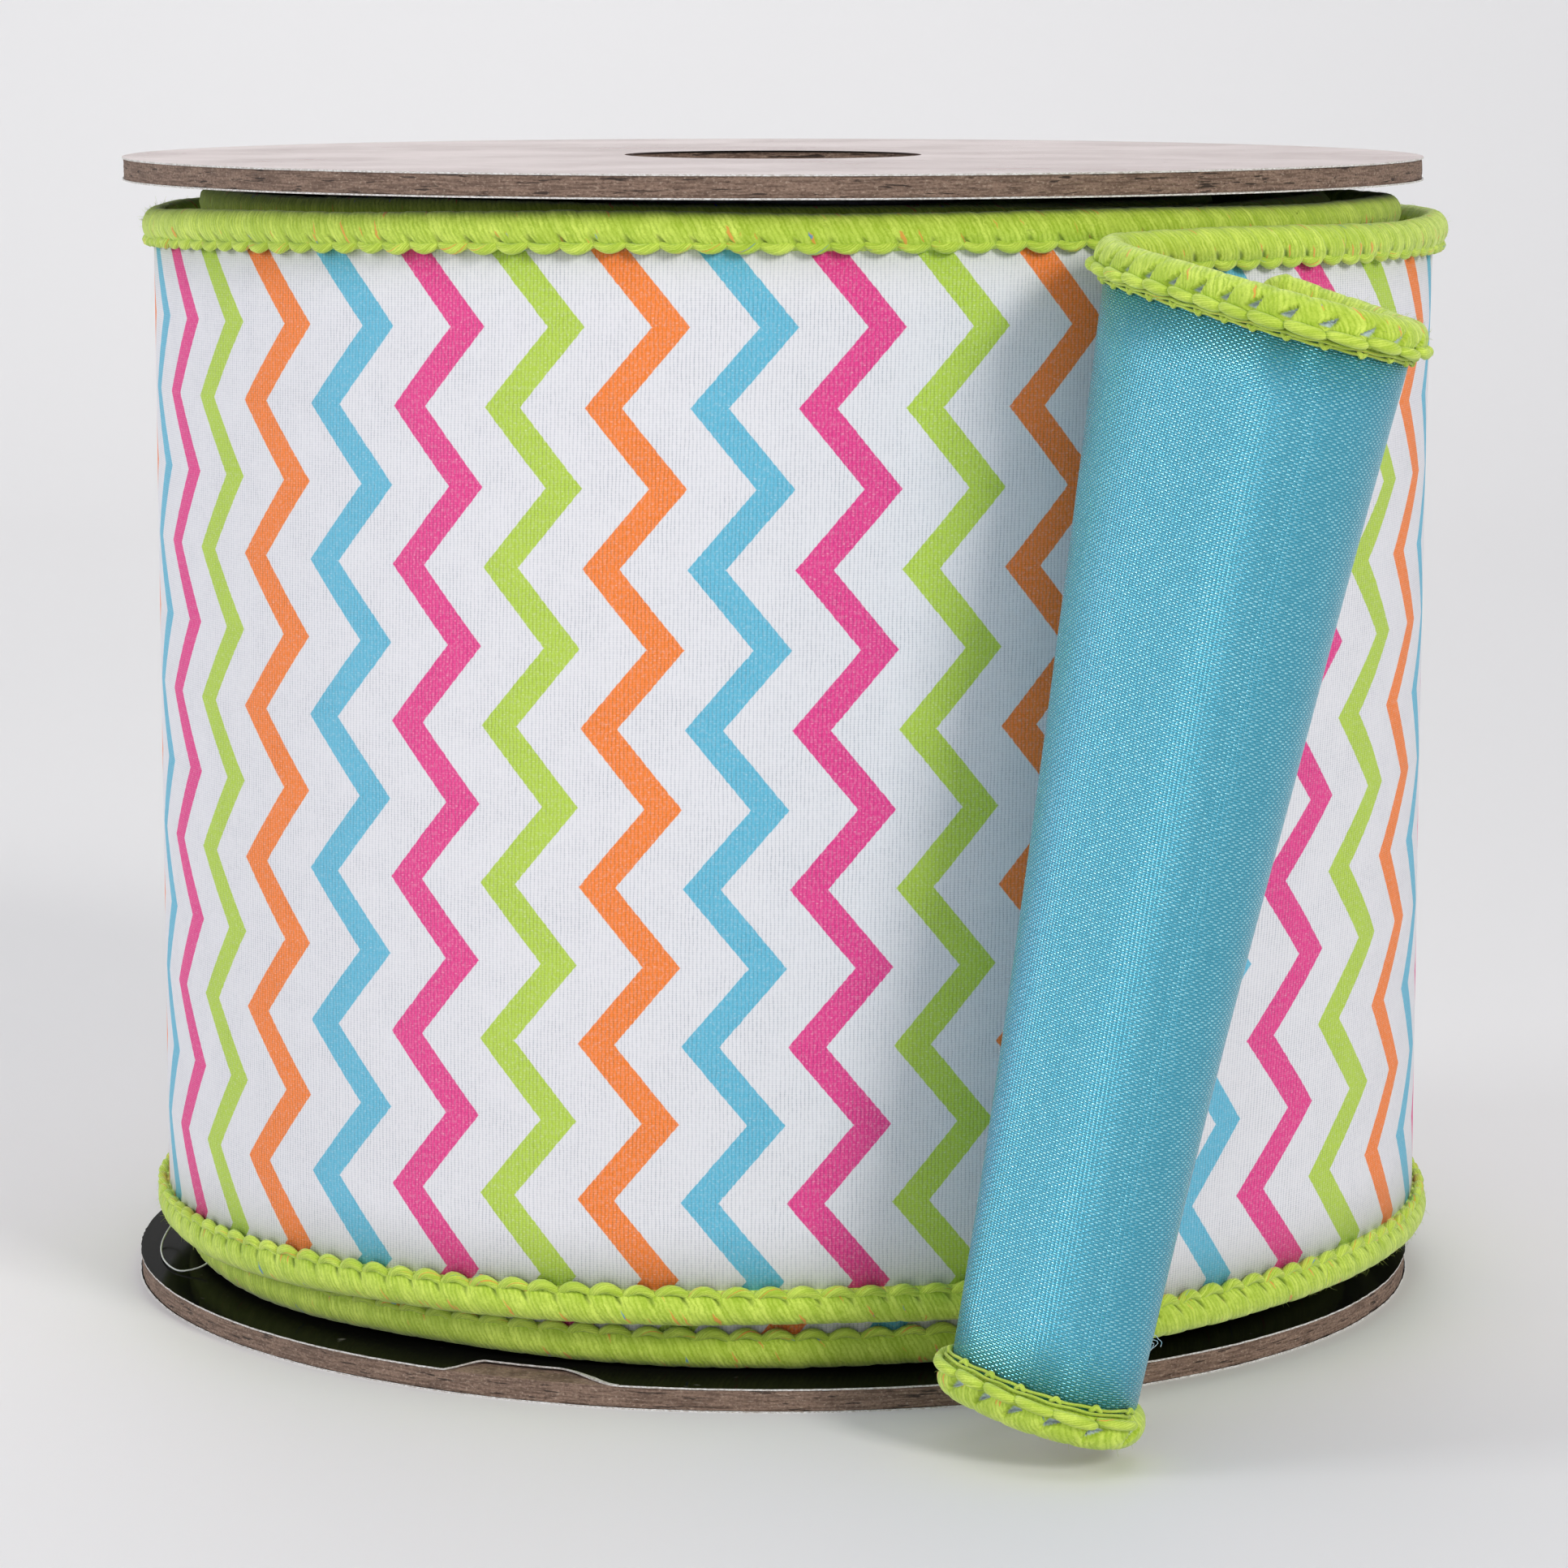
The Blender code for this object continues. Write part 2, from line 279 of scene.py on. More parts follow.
def ragged_skin(name, low, torn, face_material, rim_material):
    """One paper skin: black on its faces, with the white core at its ragged outer edge."""
    skin = flat_ring(name, BORE_RADIUS, DISC_RADIUS - 3 * TEAR_LIFT, low, SKIN_THICKNESS, RIM_STEPS)
    select_where(skin, "FACE", lambda face: abs(face.normal.z) < 0.5 and is_outer(face.center))
    bpy.ops.mesh.extrude_region_shrink_fatten(TRANSFORM_OT_shrink_fatten={"value": 3 * TEAR_LIFT})
    bpy.ops.object.mode_set(mode="OBJECT")
    for vertex in skin.data.vertices:
        angle, radius = round_place(vertex.co)
        if radius < DISC_RADIUS / 2:
            continue
        broad = Vector((math.cos(angle) * 7, math.sin(angle) * 7, low * 90))
        fine = Vector((math.cos(angle) * 70, math.sin(angle) * 70, low * 90))
        ragged = SKIN_RAGGEDNESS * (noise.noise(broad) + 0.9 * noise.noise(fine))
        tear = tear_at(angle) if torn else 0.0
        at_rim = radius > DISC_RADIUS - 2 * TEAR_LIFT
        if tear > 0.0 and not at_rim:
            ragged = 2.5 * TEAR_LIFT * max(1.0 - 3.0 * tear, 0.0)
        put_round(vertex.co, angle, radius - TEAR_DEPTH * tear + (ragged if at_rim or tear > 0.0 else 0.0))
        if at_rim:
            vertex.co.z += TEAR_LIFT * tear
    skin.data.materials.append(face_material)
    skin.data.materials.append(rim_material)
    for face in skin.data.polygons:
        angle, reach = round_place(face.center)
        on_wall = abs(face.normal.z) < 0.6 and is_outer(face.center)
        tear = tear_at(angle) if torn else 0.0
        curled = tear > 0.01 and reach > DISC_RADIUS - TEAR_DEPTH * tear - TEAR_CURL
        face.material_index = 1 if on_wall or curled else 0
    return skin


BOARD = layered_board()
BLACK_PAPER = black_paper("glossy_black_paper", gloss=1.035, grain_depth=0.010 * MM, bloom=0.0)
TOP_PAPER = black_paper("glossy_top_paper", gloss=1.24, grain_depth=0.002 * MM, bloom=0.30)
PAPER_CORE = paper_core()
for side, low in (("lower", DISC_LOW.z), ("upper", TOP_LOW.z)):
    board = rough_board(f"spool_{side}_board", low, BOARD)
    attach(board, "root")
    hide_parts(f"flange_{side}")
    for face, height in (("under", low), ("top", low + DISC_THICKNESS - SKIN_THICKNESS)):
        torn = (side, face) == ("lower", "top")
        paper = TOP_PAPER if (side, face) == ("upper", "top") else BLACK_PAPER
        skin = ragged_skin(f"spool_{side}_skin_{face}", height, torn, paper, PAPER_CORE)
        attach(skin, "root")


# The core is a tube of pale grey paper, wound in a spiral and cut square, that holds the two
# discs apart. The discs are glued against its ends, so that the bore runs through all three.
TUBE_OUTER = 18.7 * MM
TUBE_END_GAP = 0.02 * MM
TUBE_STEPS = 128
TUBE_SPIRAL_PITCH = 62 * MM
TUBE_GREY = (0.60, 0.60, 0.61, 1.0)
TUBE_MOTTLE = (0.42, 0.41, 0.40, 1.0)
TUBE_SEAM = (0.25, 0.24, 0.23, 1.0)


def spiral_paper():
    material, tree = start_material("spiral_grey_paper")
    place = object_place(tree)
    axis = (AXIS.x, AXIS.y, 0.0)
    centred = add_node(tree, "ShaderNodeVectorMath", {0: place, 1: axis}, operation="SUBTRACT")
    x, y, z = add_node(tree, "ShaderNodeSeparateXYZ", {0: centred.outputs[0]}).outputs
    turns = work_out(tree, "DIVIDE", work_out(tree, "ARCTAN2", y, x), 2 * math.pi)
    climb = work_out(tree, "SUBTRACT", work_out(tree, "DIVIDE", z, TUBE_SPIRAL_PITCH), turns)
    off_seam = work_out(tree, "SUBTRACT", work_out(tree, "FRACT", climb), 0.5)
    seam = remap(tree, work_out(tree, "ABSOLUTE", off_seam), 0.0, 0.012)
    fibres = fine_noise(tree, place, 1400.0, 3.0)
    colour = tinted(tree, TUBE_GREY, TUBE_MOTTLE, fibres, 0.3, 0.7, 0.0, 0.4)
    colour = blend_colours(tree, seam, TUBE_SEAM, colour)
    bump = bumped(tree, work_out(tree, "ADD", fibres, seam), 0.05 * MM)
    return finished(material, {"Base Color": colour, "Normal": bump, "Roughness": 0.85})


tube_low = DISC_HIGH.z + TUBE_END_GAP
tube_length = TOP_LOW.z - TUBE_END_GAP - tube_low
tube = flat_ring("core_paper_tube", BORE_RADIUS, TUBE_OUTER, tube_low, tube_length, TUBE_STEPS)
tube.data.materials.append(spiral_paper())
bpy.ops.object.shade_smooth_by_angle(angle=math.radians(40))
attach(tube, "root")
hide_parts("core_tube")


# The ribbon is one length of cloth, printed on its face and lined with a turquoise satin, wound
# from the core outwards. Its last turn is loose, and its free end leaves the roll at the right,
# folds back and curls over itself. It is carried along flat and bent, so nothing stretches.
CLOTH_WIDTH = 94.2 * MM
CLOTH_OFFSET = 3.7 * MM
CLOTH_THICKNESS = 0.45 * MM
CLOTH_UNDER_EDGING = 1.0 * MM
CORE_ANGLE = -5200.0
TURN_PITCH = 2.9 * MM
INNER_HEIGHT_WAVER = 0.9 * MM
WINDING = tuple((angle, radius * MM, height * MM) for angle, radius, height in (
    # winding angle, radius and height of the ribbon's lower edge (mm)
    (-1260.0, 52.8, 6.0),
    (-1080.0, 54.2, 7.0),
    (-900.0, 55.7, 7.8),
    (-810.0, 56.5, 5.6),
    (-720.0, 57.1, 2.9),
    (-630.0, 57.7, 2.4),
    (-540.0, 58.3, 2.45),
    (-450.0, 59.4, 4.7),
    (-360.0, 61.0, 6.8),
    (-270.0, 61.4, 7.2),
    (-180.0, 61.3, 5.7),
    (-90.0, 63.2, 5.3),
    (0.0, 64.8, 5.2),
    (37.5, 65.0, 5.2),
))
OUTER_TURN = -450.0
LOOSE_START = -90.0
CURL = (
    # along the lower edge, along the upper edge (mm), bend in degrees per mm
    (0.0, 0.0, -0.88),
    (42.3, 28.3, 0.54),
    (50.6, 30.3, 8.9),
    (55.5, 54.1, 0.27),
    (66.6, 65.0, 10.8),
    (72.7, 77.1, 5.0),
    (75.1, 99.7, 7.3),
)
# how far along the ribbon, how far its edge bells out towards the lining there (mm)
LOW_FLARES = ((556.0, 0.0), (573.0, 0.75))
HIGH_FLARES = ((440.0, 0.0), (490.0, -0.55), (525.0, -0.45), (545.0, 0.0), (557.0, 0.4))
LINES_PER_ROW = 16
CLOTH_DIVISIONS = 14
CLOTH_WAVER = 0.16 * MM


def winding_at(angle):
    """Radius and lower edge's height of the ribbon at a winding angle."""
    first = WINDING[0]
    if angle <= first[0]:
        inwards = (first[0] - angle) / 360.0
        waver = INNER_HEIGHT_WAVER * math.sin(math.radians(first[0] - angle) * 0.37)
        return first[1] - TURN_PITCH * inwards, first[2] + waver
    for before, after in zip(WINDING, WINDING[1:]):
        if angle <= after[0]:
            break
    part = (angle - before[0]) / (after[0] - before[0])
    ease = part * part * (3 - 2 * part)
    return before[1] + (after[1] - before[1]) * ease, before[2] + (after[2] - before[2]) * ease


def winding_angles():
    """Winding angles from the core to where the free end starts, finer where the ribbon shows."""
    last = WINDING[-1][0]
    stretches = ((CORE_ANGLE, WINDING[0][0], 6.0), (WINDING[0][0], OUTER_TURN, 3.0), (OUTER_TURN, last, 1.5))
    angles = []
    for start, end, step in stretches:
        angles += list(np.arange(start, end - step / 4, step))
    return angles + [last]


def curl_rows():
    rows = [CURL[0]]
    for before, after in zip(CURL, CURL[1:]):
        for step in range(1, LINES_PER_ROW + 1):
            part = step / LINES_PER_ROW
            rows.append(tuple(a + (b - a) * part for a, b in zip(before, after)))
    return rows


def ribbon_lines():
    """Straight lines across the ribbon, from the core to its cut end.

    Each has its lower and upper point, the edge's direction, the direction across, and how far
    along the flat ribbon its two ends lie. The distance is 0 where the outermost turn starts.
    """
    lines = []
    travelled = 0.0
    previous = None
    for angle in ANGLES:
        radius, edge = winding_at(angle)
        if previous:
            travelled += (radius + previous[1]) / 2 * math.radians(angle - previous[0])
        previous = (angle, radius)
        turn = math.radians(-angle)
        low = Vector((0.0, 0.0, edge + CLOTH_OFFSET))
        put_round(low, turn, radius)
        along = Vector((math.sin(turn), -math.cos(turn), 0.0))
        up = Vector((0.0, 0.0, 1.0))
        lines.append((low, low + up * CLOTH_WIDTH, along, up, travelled, travelled, angle))
    start = next(line[4] for line in lines if line[6] >= OUTER_TURN)
    flat = Matrix.Translation(low) @ Matrix((along, up, along.cross(up))).transposed().to_4x4()
    rows = [(low_along * MM, high_along * MM, bend / MM) for low_along, high_along, bend in curl_rows()]
    middles = [(row[0] + row[1]) / 2 for row in rows]
    lines.pop()
    for k, (low_along, high_along, bend) in enumerate(rows):
        low = flat @ Vector((low_along, 0.0, 0.0))
        high = flat @ Vector((high_along, CLOTH_WIDTH, 0.0))
        reach = (middles[min(k + 1, len(rows) - 1)] - middles[max(k - 1, 0)]) / 2
        half_bent = Matrix.Rotation(math.radians(bend * reach) / 2, 3, high - low) @ flat.to_3x3()
        along = half_bent @ Vector((1.0, 0.0, 0.0))
        across = half_bent @ Vector((0.0, 1.0, 0.0))
        reaches = (travelled + low_along, travelled + high_along)
        lines.append((low, high, along, across, *reaches, WINDING[-1][0]))
        bent = Matrix.Rotation(math.radians(bend * reach), 4, high - low)
        flat = Matrix.Translation(low) @ bent @ Matrix.Translation(-low) @ flat
    return [line[:4] + (line[4] - start, line[5] - start) for line in lines]


ANGLES = winding_angles()
LINES = ribbon_lines()
LOW, HIGH, ALONG, ACROSS = (np.array([line[k] for line in LINES]) for k in range(4))
BACKWARDS = np.cross(ALONG, ACROSS)
LOW_REACH, HIGH_REACH = (np.array([line[k] for line in LINES]) for k in (4, 5))
LOW_FLARE = np.interp(LOW_REACH, *np.array(LOW_FLARES).T * MM)[:, None] * BACKWARDS
HIGH_FLARE = np.interp(HIGH_REACH, *np.array(HIGH_FLARES).T * MM)[:, None] * BACKWARDS


def lofted_mesh(name, rings, flat, closed):
    """Faces between neighbouring rings, rings[piece, ring, point], with their flat places as UVs.

    A closed ring's flat places have one more point than it has, for the seam.
    """
    pieces, count, around = rings.shape[:3]
    index = np.arange(pieces * count * around).reshape(pieces, count, around)
    if closed:
        index = np.concatenate([index, index[:, :, :1]], axis=2)

    def corners(grid):
        sides = (grid[:, :-1, :-1], grid[:, :-1, 1:], grid[:, 1:, 1:], grid[:, 1:, :-1])
        return np.stack(sides, axis=3).reshape(-1, 4, *grid.shape[3:])

    faces = corners(index).tolist()
    uvs = corners(flat).reshape(-1, 2)
    if closed:
        faces += index[:, 0, -1:0:-1].tolist() + index[:, -1, :-1].tolist()
        ends = [flat[:, 0, -1:0:-1], flat[:, -1, :-1]]
        uvs = np.concatenate([uvs] + [end.reshape(-1, 2) for end in ends])
    mesh = bpy.data.meshes.new(name)
    mesh.from_pydata(rings.reshape(-1, 3).tolist(), [], faces)
    mesh.uv_layers.new(name="flat").data.foreach_set("uv", uvs.astype(np.float32).ravel())
    mesh.shade_smooth()
    thing = bpy.data.objects.new(name, mesh)
    bpy.context.scene.collection.objects.link(thing)
    return thing


# UVs count in metres of flat cloth times this, so that a UV of 1 is a centimetre
UV_SCALE = 100.0
PRINT_BEND = 1.45 * MM
LOOSE_LEAN = 0.073
LOOSE_TOP_PULL = 2.8 * MM
PRINT_PULL = (
    # how far along the ribbon, how far the print is pulled onwards there (mm)
    (212.0, 0.0),
    (229.0, 0.2),
    (239.0, 1.0),
    (249.0, 1.8),
    (259.0, 1.5),
    (275.0, 0.7),
    (320.0, 0.0),
    (500.0, 0.0),
    (512.0, 0.45),
    (518.0, 0.55),
    (525.0, 1.85),
    (530.0, 2.35),
    (540.0, 3.9),
)
LEAN_CHANGE = (430.0 * MM, 505.0 * MM)


def print_place(reach, width_place):
    """Where the print falls on a spot of the flat cloth, which was pulled a little as it was wound."""
    part = np.clip((reach - LEAN_CHANGE[0]) / (LEAN_CHANGE[1] - LEAN_CHANGE[0]), 0.0, 1.0)
    upwards = np.clip(width_place / CLOTH_WIDTH, 0.0, 1.0)
    lean = PRINT_BEND * upwards ** 1.6 + LOOSE_LEAN * part * (width_place - 0.07 * CLOTH_WIDTH)
    lean = lean - LOOSE_TOP_PULL * part * upwards ** 8
    spots, pulls = np.array(PRINT_PULL).T * MM
    return np.stack([reach + lean - np.interp(reach, spots, pulls), width_place], axis=-1) * UV_SCALE


def ribbon_cloth():
    edge_part = CLOTH_UNDER_EDGING / CLOTH_WIDTH
    parts = np.linspace(-edge_part, 1 + edge_part, CLOTH_DIVISIONS + 1)[None, :, None]
    points = LOW[:, None] + (HIGH - LOW)[:, None] * parts
    held = np.clip(parts, 0.0, 1.0)
    points = points + LOW_FLARE[:, None] * (1 - held) ** 5 + HIGH_FLARE[:, None] * held ** 5
    reach = LOW_REACH[:, None] + (HIGH_REACH - LOW_REACH)[:, None] * parts[..., 0]
    width_place = np.broadcast_to(parts[..., 0] * CLOTH_WIDTH, reach.shape)
    for i in range(points.shape[0]):
        for j in range(points.shape[1]):
            spot = Vector((reach[i, j] * 38.0, width_place[i, j] * 30.0, 3.7))
            hold = math.sin(math.pi * min(max(parts[0, j, 0], 0.0), 1.0))
            points[i, j] += BACKWARDS[i] * CLOTH_WAVER * hold * noise.noise(spot)
    return lofted_mesh("ribbon", points[None], print_place(reach, width_place)[None], closed=False)


def start_group(name, inputs, outputs):
    """A group of nodes with numbers for inputs and outputs: its tree, what it is given, its result."""
    tree = bpy.data.node_groups.new(name, "ShaderNodeTree")
    for way, sockets in (("INPUT", inputs), ("OUTPUT", outputs)):
        for socket in sockets:
            tree.interface.new_socket(socket, in_out=way, socket_type="NodeSocketFloat")
    return tree, tree.nodes.new("NodeGroupInput").outputs, tree.nodes.new("NodeGroupOutput")


def weave_group():
    """Plain weave: which thread is on top, its height, and how near a gap between threads is."""
    inputs = ("Along", "Across", "Along Pitch", "Across Pitch")
    outputs = ("On Top", "Height", "Gap", "Chance")
    tree, given, result = start_group("Plain weave", inputs, outputs)
    a = work_out(tree, "DIVIDE", given["Along"], given["Along Pitch"])
    b = work_out(tree, "DIVIDE", given["Across"], given["Across Pitch"])
    crown_a = work_out(tree, "SINE", times(tree, work_out(tree, "FRACT", a), math.pi))
    crown_b = work_out(tree, "SINE", times(tree, work_out(tree, "FRACT", b), math.pi))
    cells = work_out(tree, "ADD", work_out(tree, "FLOOR", a), work_out(tree, "FLOOR", b))
    on_top = work_out(tree, "FLOORED_MODULO", cells, 2.0)
    both = times(tree, crown_a, crown_b)
    along_thread = work_out(tree, "MULTIPLY_ADD", crown_b, 0.45, times(tree, both, 0.55))
    across_thread = work_out(tree, "MULTIPLY_ADD", crown_a, 0.45, times(tree, both, 0.55))
    height = add_node(tree, "ShaderNodeMix", {0: on_top, 2: across_thread, 3: along_thread}).outputs[0]
    numbers = {0: work_out(tree, "ROUND", a), 1: work_out(tree, "FLOOR", b)}
    cell = {"Vector": add_node(tree, "ShaderNodeCombineXYZ", numbers).outputs[0]}
    chance = add_node(tree, "ShaderNodeTexWhiteNoise", cell, noise_dimensions="2D").outputs[0]
    between = remap(tree, crown_a, 0.0, 0.85, 1.0, 0.0)
    between = times(tree, between, remap(tree, crown_b, 0.1, 1.0, 1.0, 0.5))
    between = work_out(tree, "MAXIMUM", between, remap(tree, crown_b, 0.0, 0.7, 0.32, 0.0))
    gap = times(tree, between, remap(tree, chance, 0.0, 1.0, 0.60, 1.0))
    give(tree, result, {"On Top": on_top, "Height": height, "Gap": gap, "Chance": chance})
    return tree


def use_group(tree, group, inputs):
    return add_node(tree, "ShaderNodeGroup", inputs, node_tree=group).outputs


def woven(tree, along, across, pitches):
    """The weave at a flat place, with its threads' pitches along and across, all in millimetres."""
    inputs = {"Along": along, "Across": across, "Along Pitch": pitches[0], "Across Pitch": pitches[1]}
    return use_group(tree, WEAVE, inputs)


WEAVE = weave_group()
STRIPE_SPACING = 9.65
STRIPE_WIDTH = 3.45
ZIGZAG_PERIOD = 14.47
ZIGZAG_REACH = 6.05
ZIGZAG_PHASE = 15.15
STRIPE_PHASE = 184.65
PRINT_THREAD = (0.365, 0.21)
SATIN_THREAD = (0.37, 0.21)
STRIPE_COLOURS = (
    # along the ribbon, outwards from the core
    (0.86, 0.052, 0.285, 1.0),
    (0.135, 0.53, 0.73, 1.0),
    (1.0, 0.245, 0.035, 1.0),
    (0.50, 0.70, 0.07, 1.0),
)
CLOTH_WHITE = (0.84, 0.835, 0.87, 1.0)
# painted shade for the gaps between the printed cloth's threads
CLOTH_GAP_SHADE = (0.46, 0.49, 0.54, 1.0)
SATIN_DEEP = (0.016, 0.375, 0.530, 1.0)
# the satin's pale colour is a painted highlight on the crowns of its threads, and its gap colour a painted
# shade between them
SATIN_HIGHLIGHT = (0.34, 0.84, 0.96, 1.0)
SATIN_GAP_SHADE = (0.30, 0.45, 0.55, 1.0)


def flat_millimetres(tree):
    """The flat place on the cloth as two sockets, along and across, in millimetres."""
    place = add_node(tree, "ShaderNodeUVMap", uv_map="flat").outputs[0]
    along, across, _ = add_node(tree, "ShaderNodeSeparateXYZ", {0: place}).outputs
    to_mm = 1000.0 / UV_SCALE
    return place, times(tree, along, to_mm), times(tree, across, to_mm)


def printed_cloth():
    material, tree = start_material("printed_zigzag_cloth")
    place, along, across = flat_millimetres(tree)
    wobble = fine_noise(tree, place, 2.2, 2.0)
    up = work_out(tree, "SUBTRACT", across, ZIGZAG_PHASE)
    swing = work_out(tree, "PINGPONG", up, ZIGZAG_PERIOD / 2)
    swing = work_out(tree, "MULTIPLY_ADD", swing, ZIGZAG_REACH / (ZIGZAG_PERIOD / 2), -ZIGZAG_REACH / 2)
    sideways = work_out(tree, "SUBTRACT", work_out(tree, "SUBTRACT", along, STRIPE_PHASE), swing)
    stripes = work_out(tree, "DIVIDE", sideways, STRIPE_SPACING)
    number = work_out(tree, "ROUND", stripes)
    off = work_out(tree, "ABSOLUTE", work_out(tree, "SUBTRACT", stripes, number))
    off = times(tree, off, STRIPE_SPACING)
    bleed = fine_noise(tree, place, 34.0, 1.0, (1.0, 0.4, 1.0))
    off = work_out(tree, "MULTIPLY_ADD", work_out(tree, "SUBTRACT", bleed, 0.5), 0.22, off)
    inked = remap(tree, off, STRIPE_WIDTH / 2 - 0.07, STRIPE_WIDTH / 2 + 0.07, 1.0, 0.0)
    which = work_out(tree, "FRACT", work_out(tree, "DIVIDE", work_out(tree, "ADD", number, 0.5), 4.0))
    ramp = add_node(tree, "ShaderNodeValToRGB", {"Fac": which})
    ramp.color_ramp.interpolation = "CONSTANT"
    ramp.color_ramp.elements[0].color = STRIPE_COLOURS[0]
    ramp.color_ramp.elements[1].position = 0.25
    ramp.color_ramp.elements[1].color = STRIPE_COLOURS[1]
    for k in (2, 3):
        ramp.color_ramp.elements.new(k / 4).color = STRIPE_COLOURS[k]
    drawn = fine_noise(tree, place, 9.0, 2.0, (1.0, 0.35, 1.0))
    weave = woven(tree, work_out(tree, "MULTIPLY_ADD", drawn, 0.30, along), across, PRINT_THREAD)
    thin = fine_noise(tree, place, 45.0, 2.0, (1.0, 0.5, 1.0))
    ink = tinted(tree, ramp.outputs[0], CLOTH_WHITE, thin, 0.42, 0.72, 0.01, 0.16)
    colour = blend_colours(tree, inked, CLOTH_WHITE, ink)
    # painted shade in the gaps between threads, multiplied in more strongly in some places than others
    gap = times(tree, weave["Gap"], remap(tree, wobble, 0.3, 0.7, 0.60, 1.0))
    colour = blend_colours(tree, gap, colour, CLOTH_GAP_SHADE, "MULTIPLY")
    # a painted highlight: white laid on the crowns of the threads on top, in scattered spots
    painted_glint = times(tree, weave["On Top"], remap(tree, weave["Height"], 0.5, 1.0, 0.0, 1.0))
    painted_glint = times(tree, painted_glint, remap(tree, bleed, 0.42, 0.75, 0.0, 0.26))
    colour = blend_colours(tree, painted_glint, colour, (1.0, 1.0, 1.0, 1.0))
    return finished(material, {
        "Base Color": colour,
        "Normal": bumped(tree, weave["Height"], 0.025 * MM, 0.6),
        "Roughness": 0.66,
        "Specular IOR Level": 0.25,
        "Sheen Weight": 0.06,
    })


def turquoise_satin():
    material, tree = start_material("turquoise_satin")
    place, along, across = flat_millimetres(tree)
    weave = woven(tree, along, across, SATIN_THREAD)
    slub = fine_noise(tree, place, 8.0, 3.0, (1.0, 0.12, 1.0))
    # painted highlights: the crowns of the threads on top are coloured towards pale turquoise, more strongly
    # on some than others
    highlight_strength = remap(tree, weave["Chance"], 0.0, 1.0, 0.30, 1.0)
    float_highlights = times(tree, remap(tree, weave["Height"], 0.08, 0.62), weave["On Top"])
    float_highlights = times(tree, float_highlights, highlight_strength)
    colour = blend_colours(tree, float_highlights, SATIN_DEEP, SATIN_HIGHLIGHT)
    colour = tinted(tree, colour, SATIN_DEEP, slub, 0.3, 0.7, 0.0, 0.22)
    # painted shade in the gaps between threads, multiplied in at half strength
    colour = blend_colours(tree, times(tree, weave["Gap"], 0.5), colour, SATIN_GAP_SHADE, "MULTIPLY")
    return finished(material, {
        "Base Color": colour,
        "Roughness": remap(tree, weave["On Top"], 0.0, 1.0, 0.42, 0.27),
        "Metallic": 0.60,
        "Normal": bumped(tree, weave["Height"], 0.045 * MM),
        "IOR": 2.0,
        "Specular IOR Level": 0.9,
        "Sheen Weight": 0.10,
    })


ribbon = ribbon_cloth()
ribbon.data.materials.append(printed_cloth())
ribbon.data.materials.append(turquoise_satin())
bpy.context.view_layer.objects.active = ribbon
wall = ribbon.modifiers.new("Lining", "SOLIDIFY")
wall.thickness = CLOTH_THICKNESS
wall.offset = 0.0
wall.material_offset = 1
bpy.ops.object.modifier_apply(modifier="Lining")
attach(ribbon, "root")
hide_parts("wound_ribbon", "loose_end")


# Both edges of the ribbon are finished with a fat lime cord, wrapped in slanting yarn that is
# drawn into bundles 3 mm apart. The bundles are pinched where the cord meets the lining, and on
# the inner turns, which lie hidden between the discs, the same cord is made more plainly.
BUNDLE_PITCH = 3.0 * MM
CORD_CENTRE = 1.88 * MM
CORD_HALF_HEIGHT = 1.72 * MM
CORD_HALF_DEPTH = 1.50 * MM
WOUND_INSET = 0.12 * MM
LOOSE_INSET = -0.15 * MM
BUNDLE_LEAN = 0.34
BUNDLE_GROOVE = 0.05
HOLE_TOP = 62.0
HOLE_BOTTOM = 112.0
HOLE_HALF_WIDTH = 0.22
HOLE_DEPTH = 0.62
CREASE_MIDDLE = 232.0
CREASE_SPREAD = 26.0
CREASE_DEPTH = 0.14
CORD_WAVER = 0.22 * MM
HOLE_RINGS = 0.3 * MM
# the yarn's lit and deep colours are painted highlight and painted shade on its strands, the deep one also
# its darker tone; the crease colour is painted shade
YARN_LIT = (0.75, 0.91, 0.145, 1.0)
YARN_DEEP_AND_SHADED = (0.36, 0.53, 0.024, 1.0)
YARN_CREASE_SHADE = (0.10, 0.17, 0.008, 1.0)
YARN_PITCH = 0.50
HOLE_SHADE = (0.58, 0.68, 0.74, 1.0)
FLECKS = ((0.85, 0.30, 0.05, 1.0), (0.05, 0.25, 0.55, 1.0))


def scatter(numbers, seed):
    """An even spread between -1 and 1, the same each time, for whole numbers."""
    return 2 * np.modf(np.abs(np.sin(numbers * 12.9898 + seed * 78.233) * 43758.5453))[0] - 1


def edge_frame(edge, reach):
    """Points on an edge of the cloth, and the directions along it, out of it and to its back."""
    lower = edge == "lower"
    places = LOW_REACH if lower else HIGH_REACH
    points = LOW + LOW_FLARE if lower else HIGH + HIGH_FLARE

    def read(values):
        return np.stack([np.interp(reach, places, values[:, axis]) for axis in range(3)], axis=-1)

    def unit(values):
        return values / np.linalg.norm(values, axis=-1, keepdims=True)

    outwards = -ACROSS if lower else ACROSS
    return read(points), unit(read(ALONG)), unit(read(outwards)), unit(read(BACKWARDS))


def inset_at(reach):
    """How far the cord is pushed towards the back of the cloth: less on the loose turn."""
    part = np.clip((reach - LOOSE_REACH) / (60 * MM), 0.0, 1.0)
    return WOUND_INSET + (LOOSE_INSET - WOUND_INSET) * part


LOOSE_REACH = float(np.interp(LOOSE_START, ANGLES, LOW_REACH[: len(ANGLES)]))


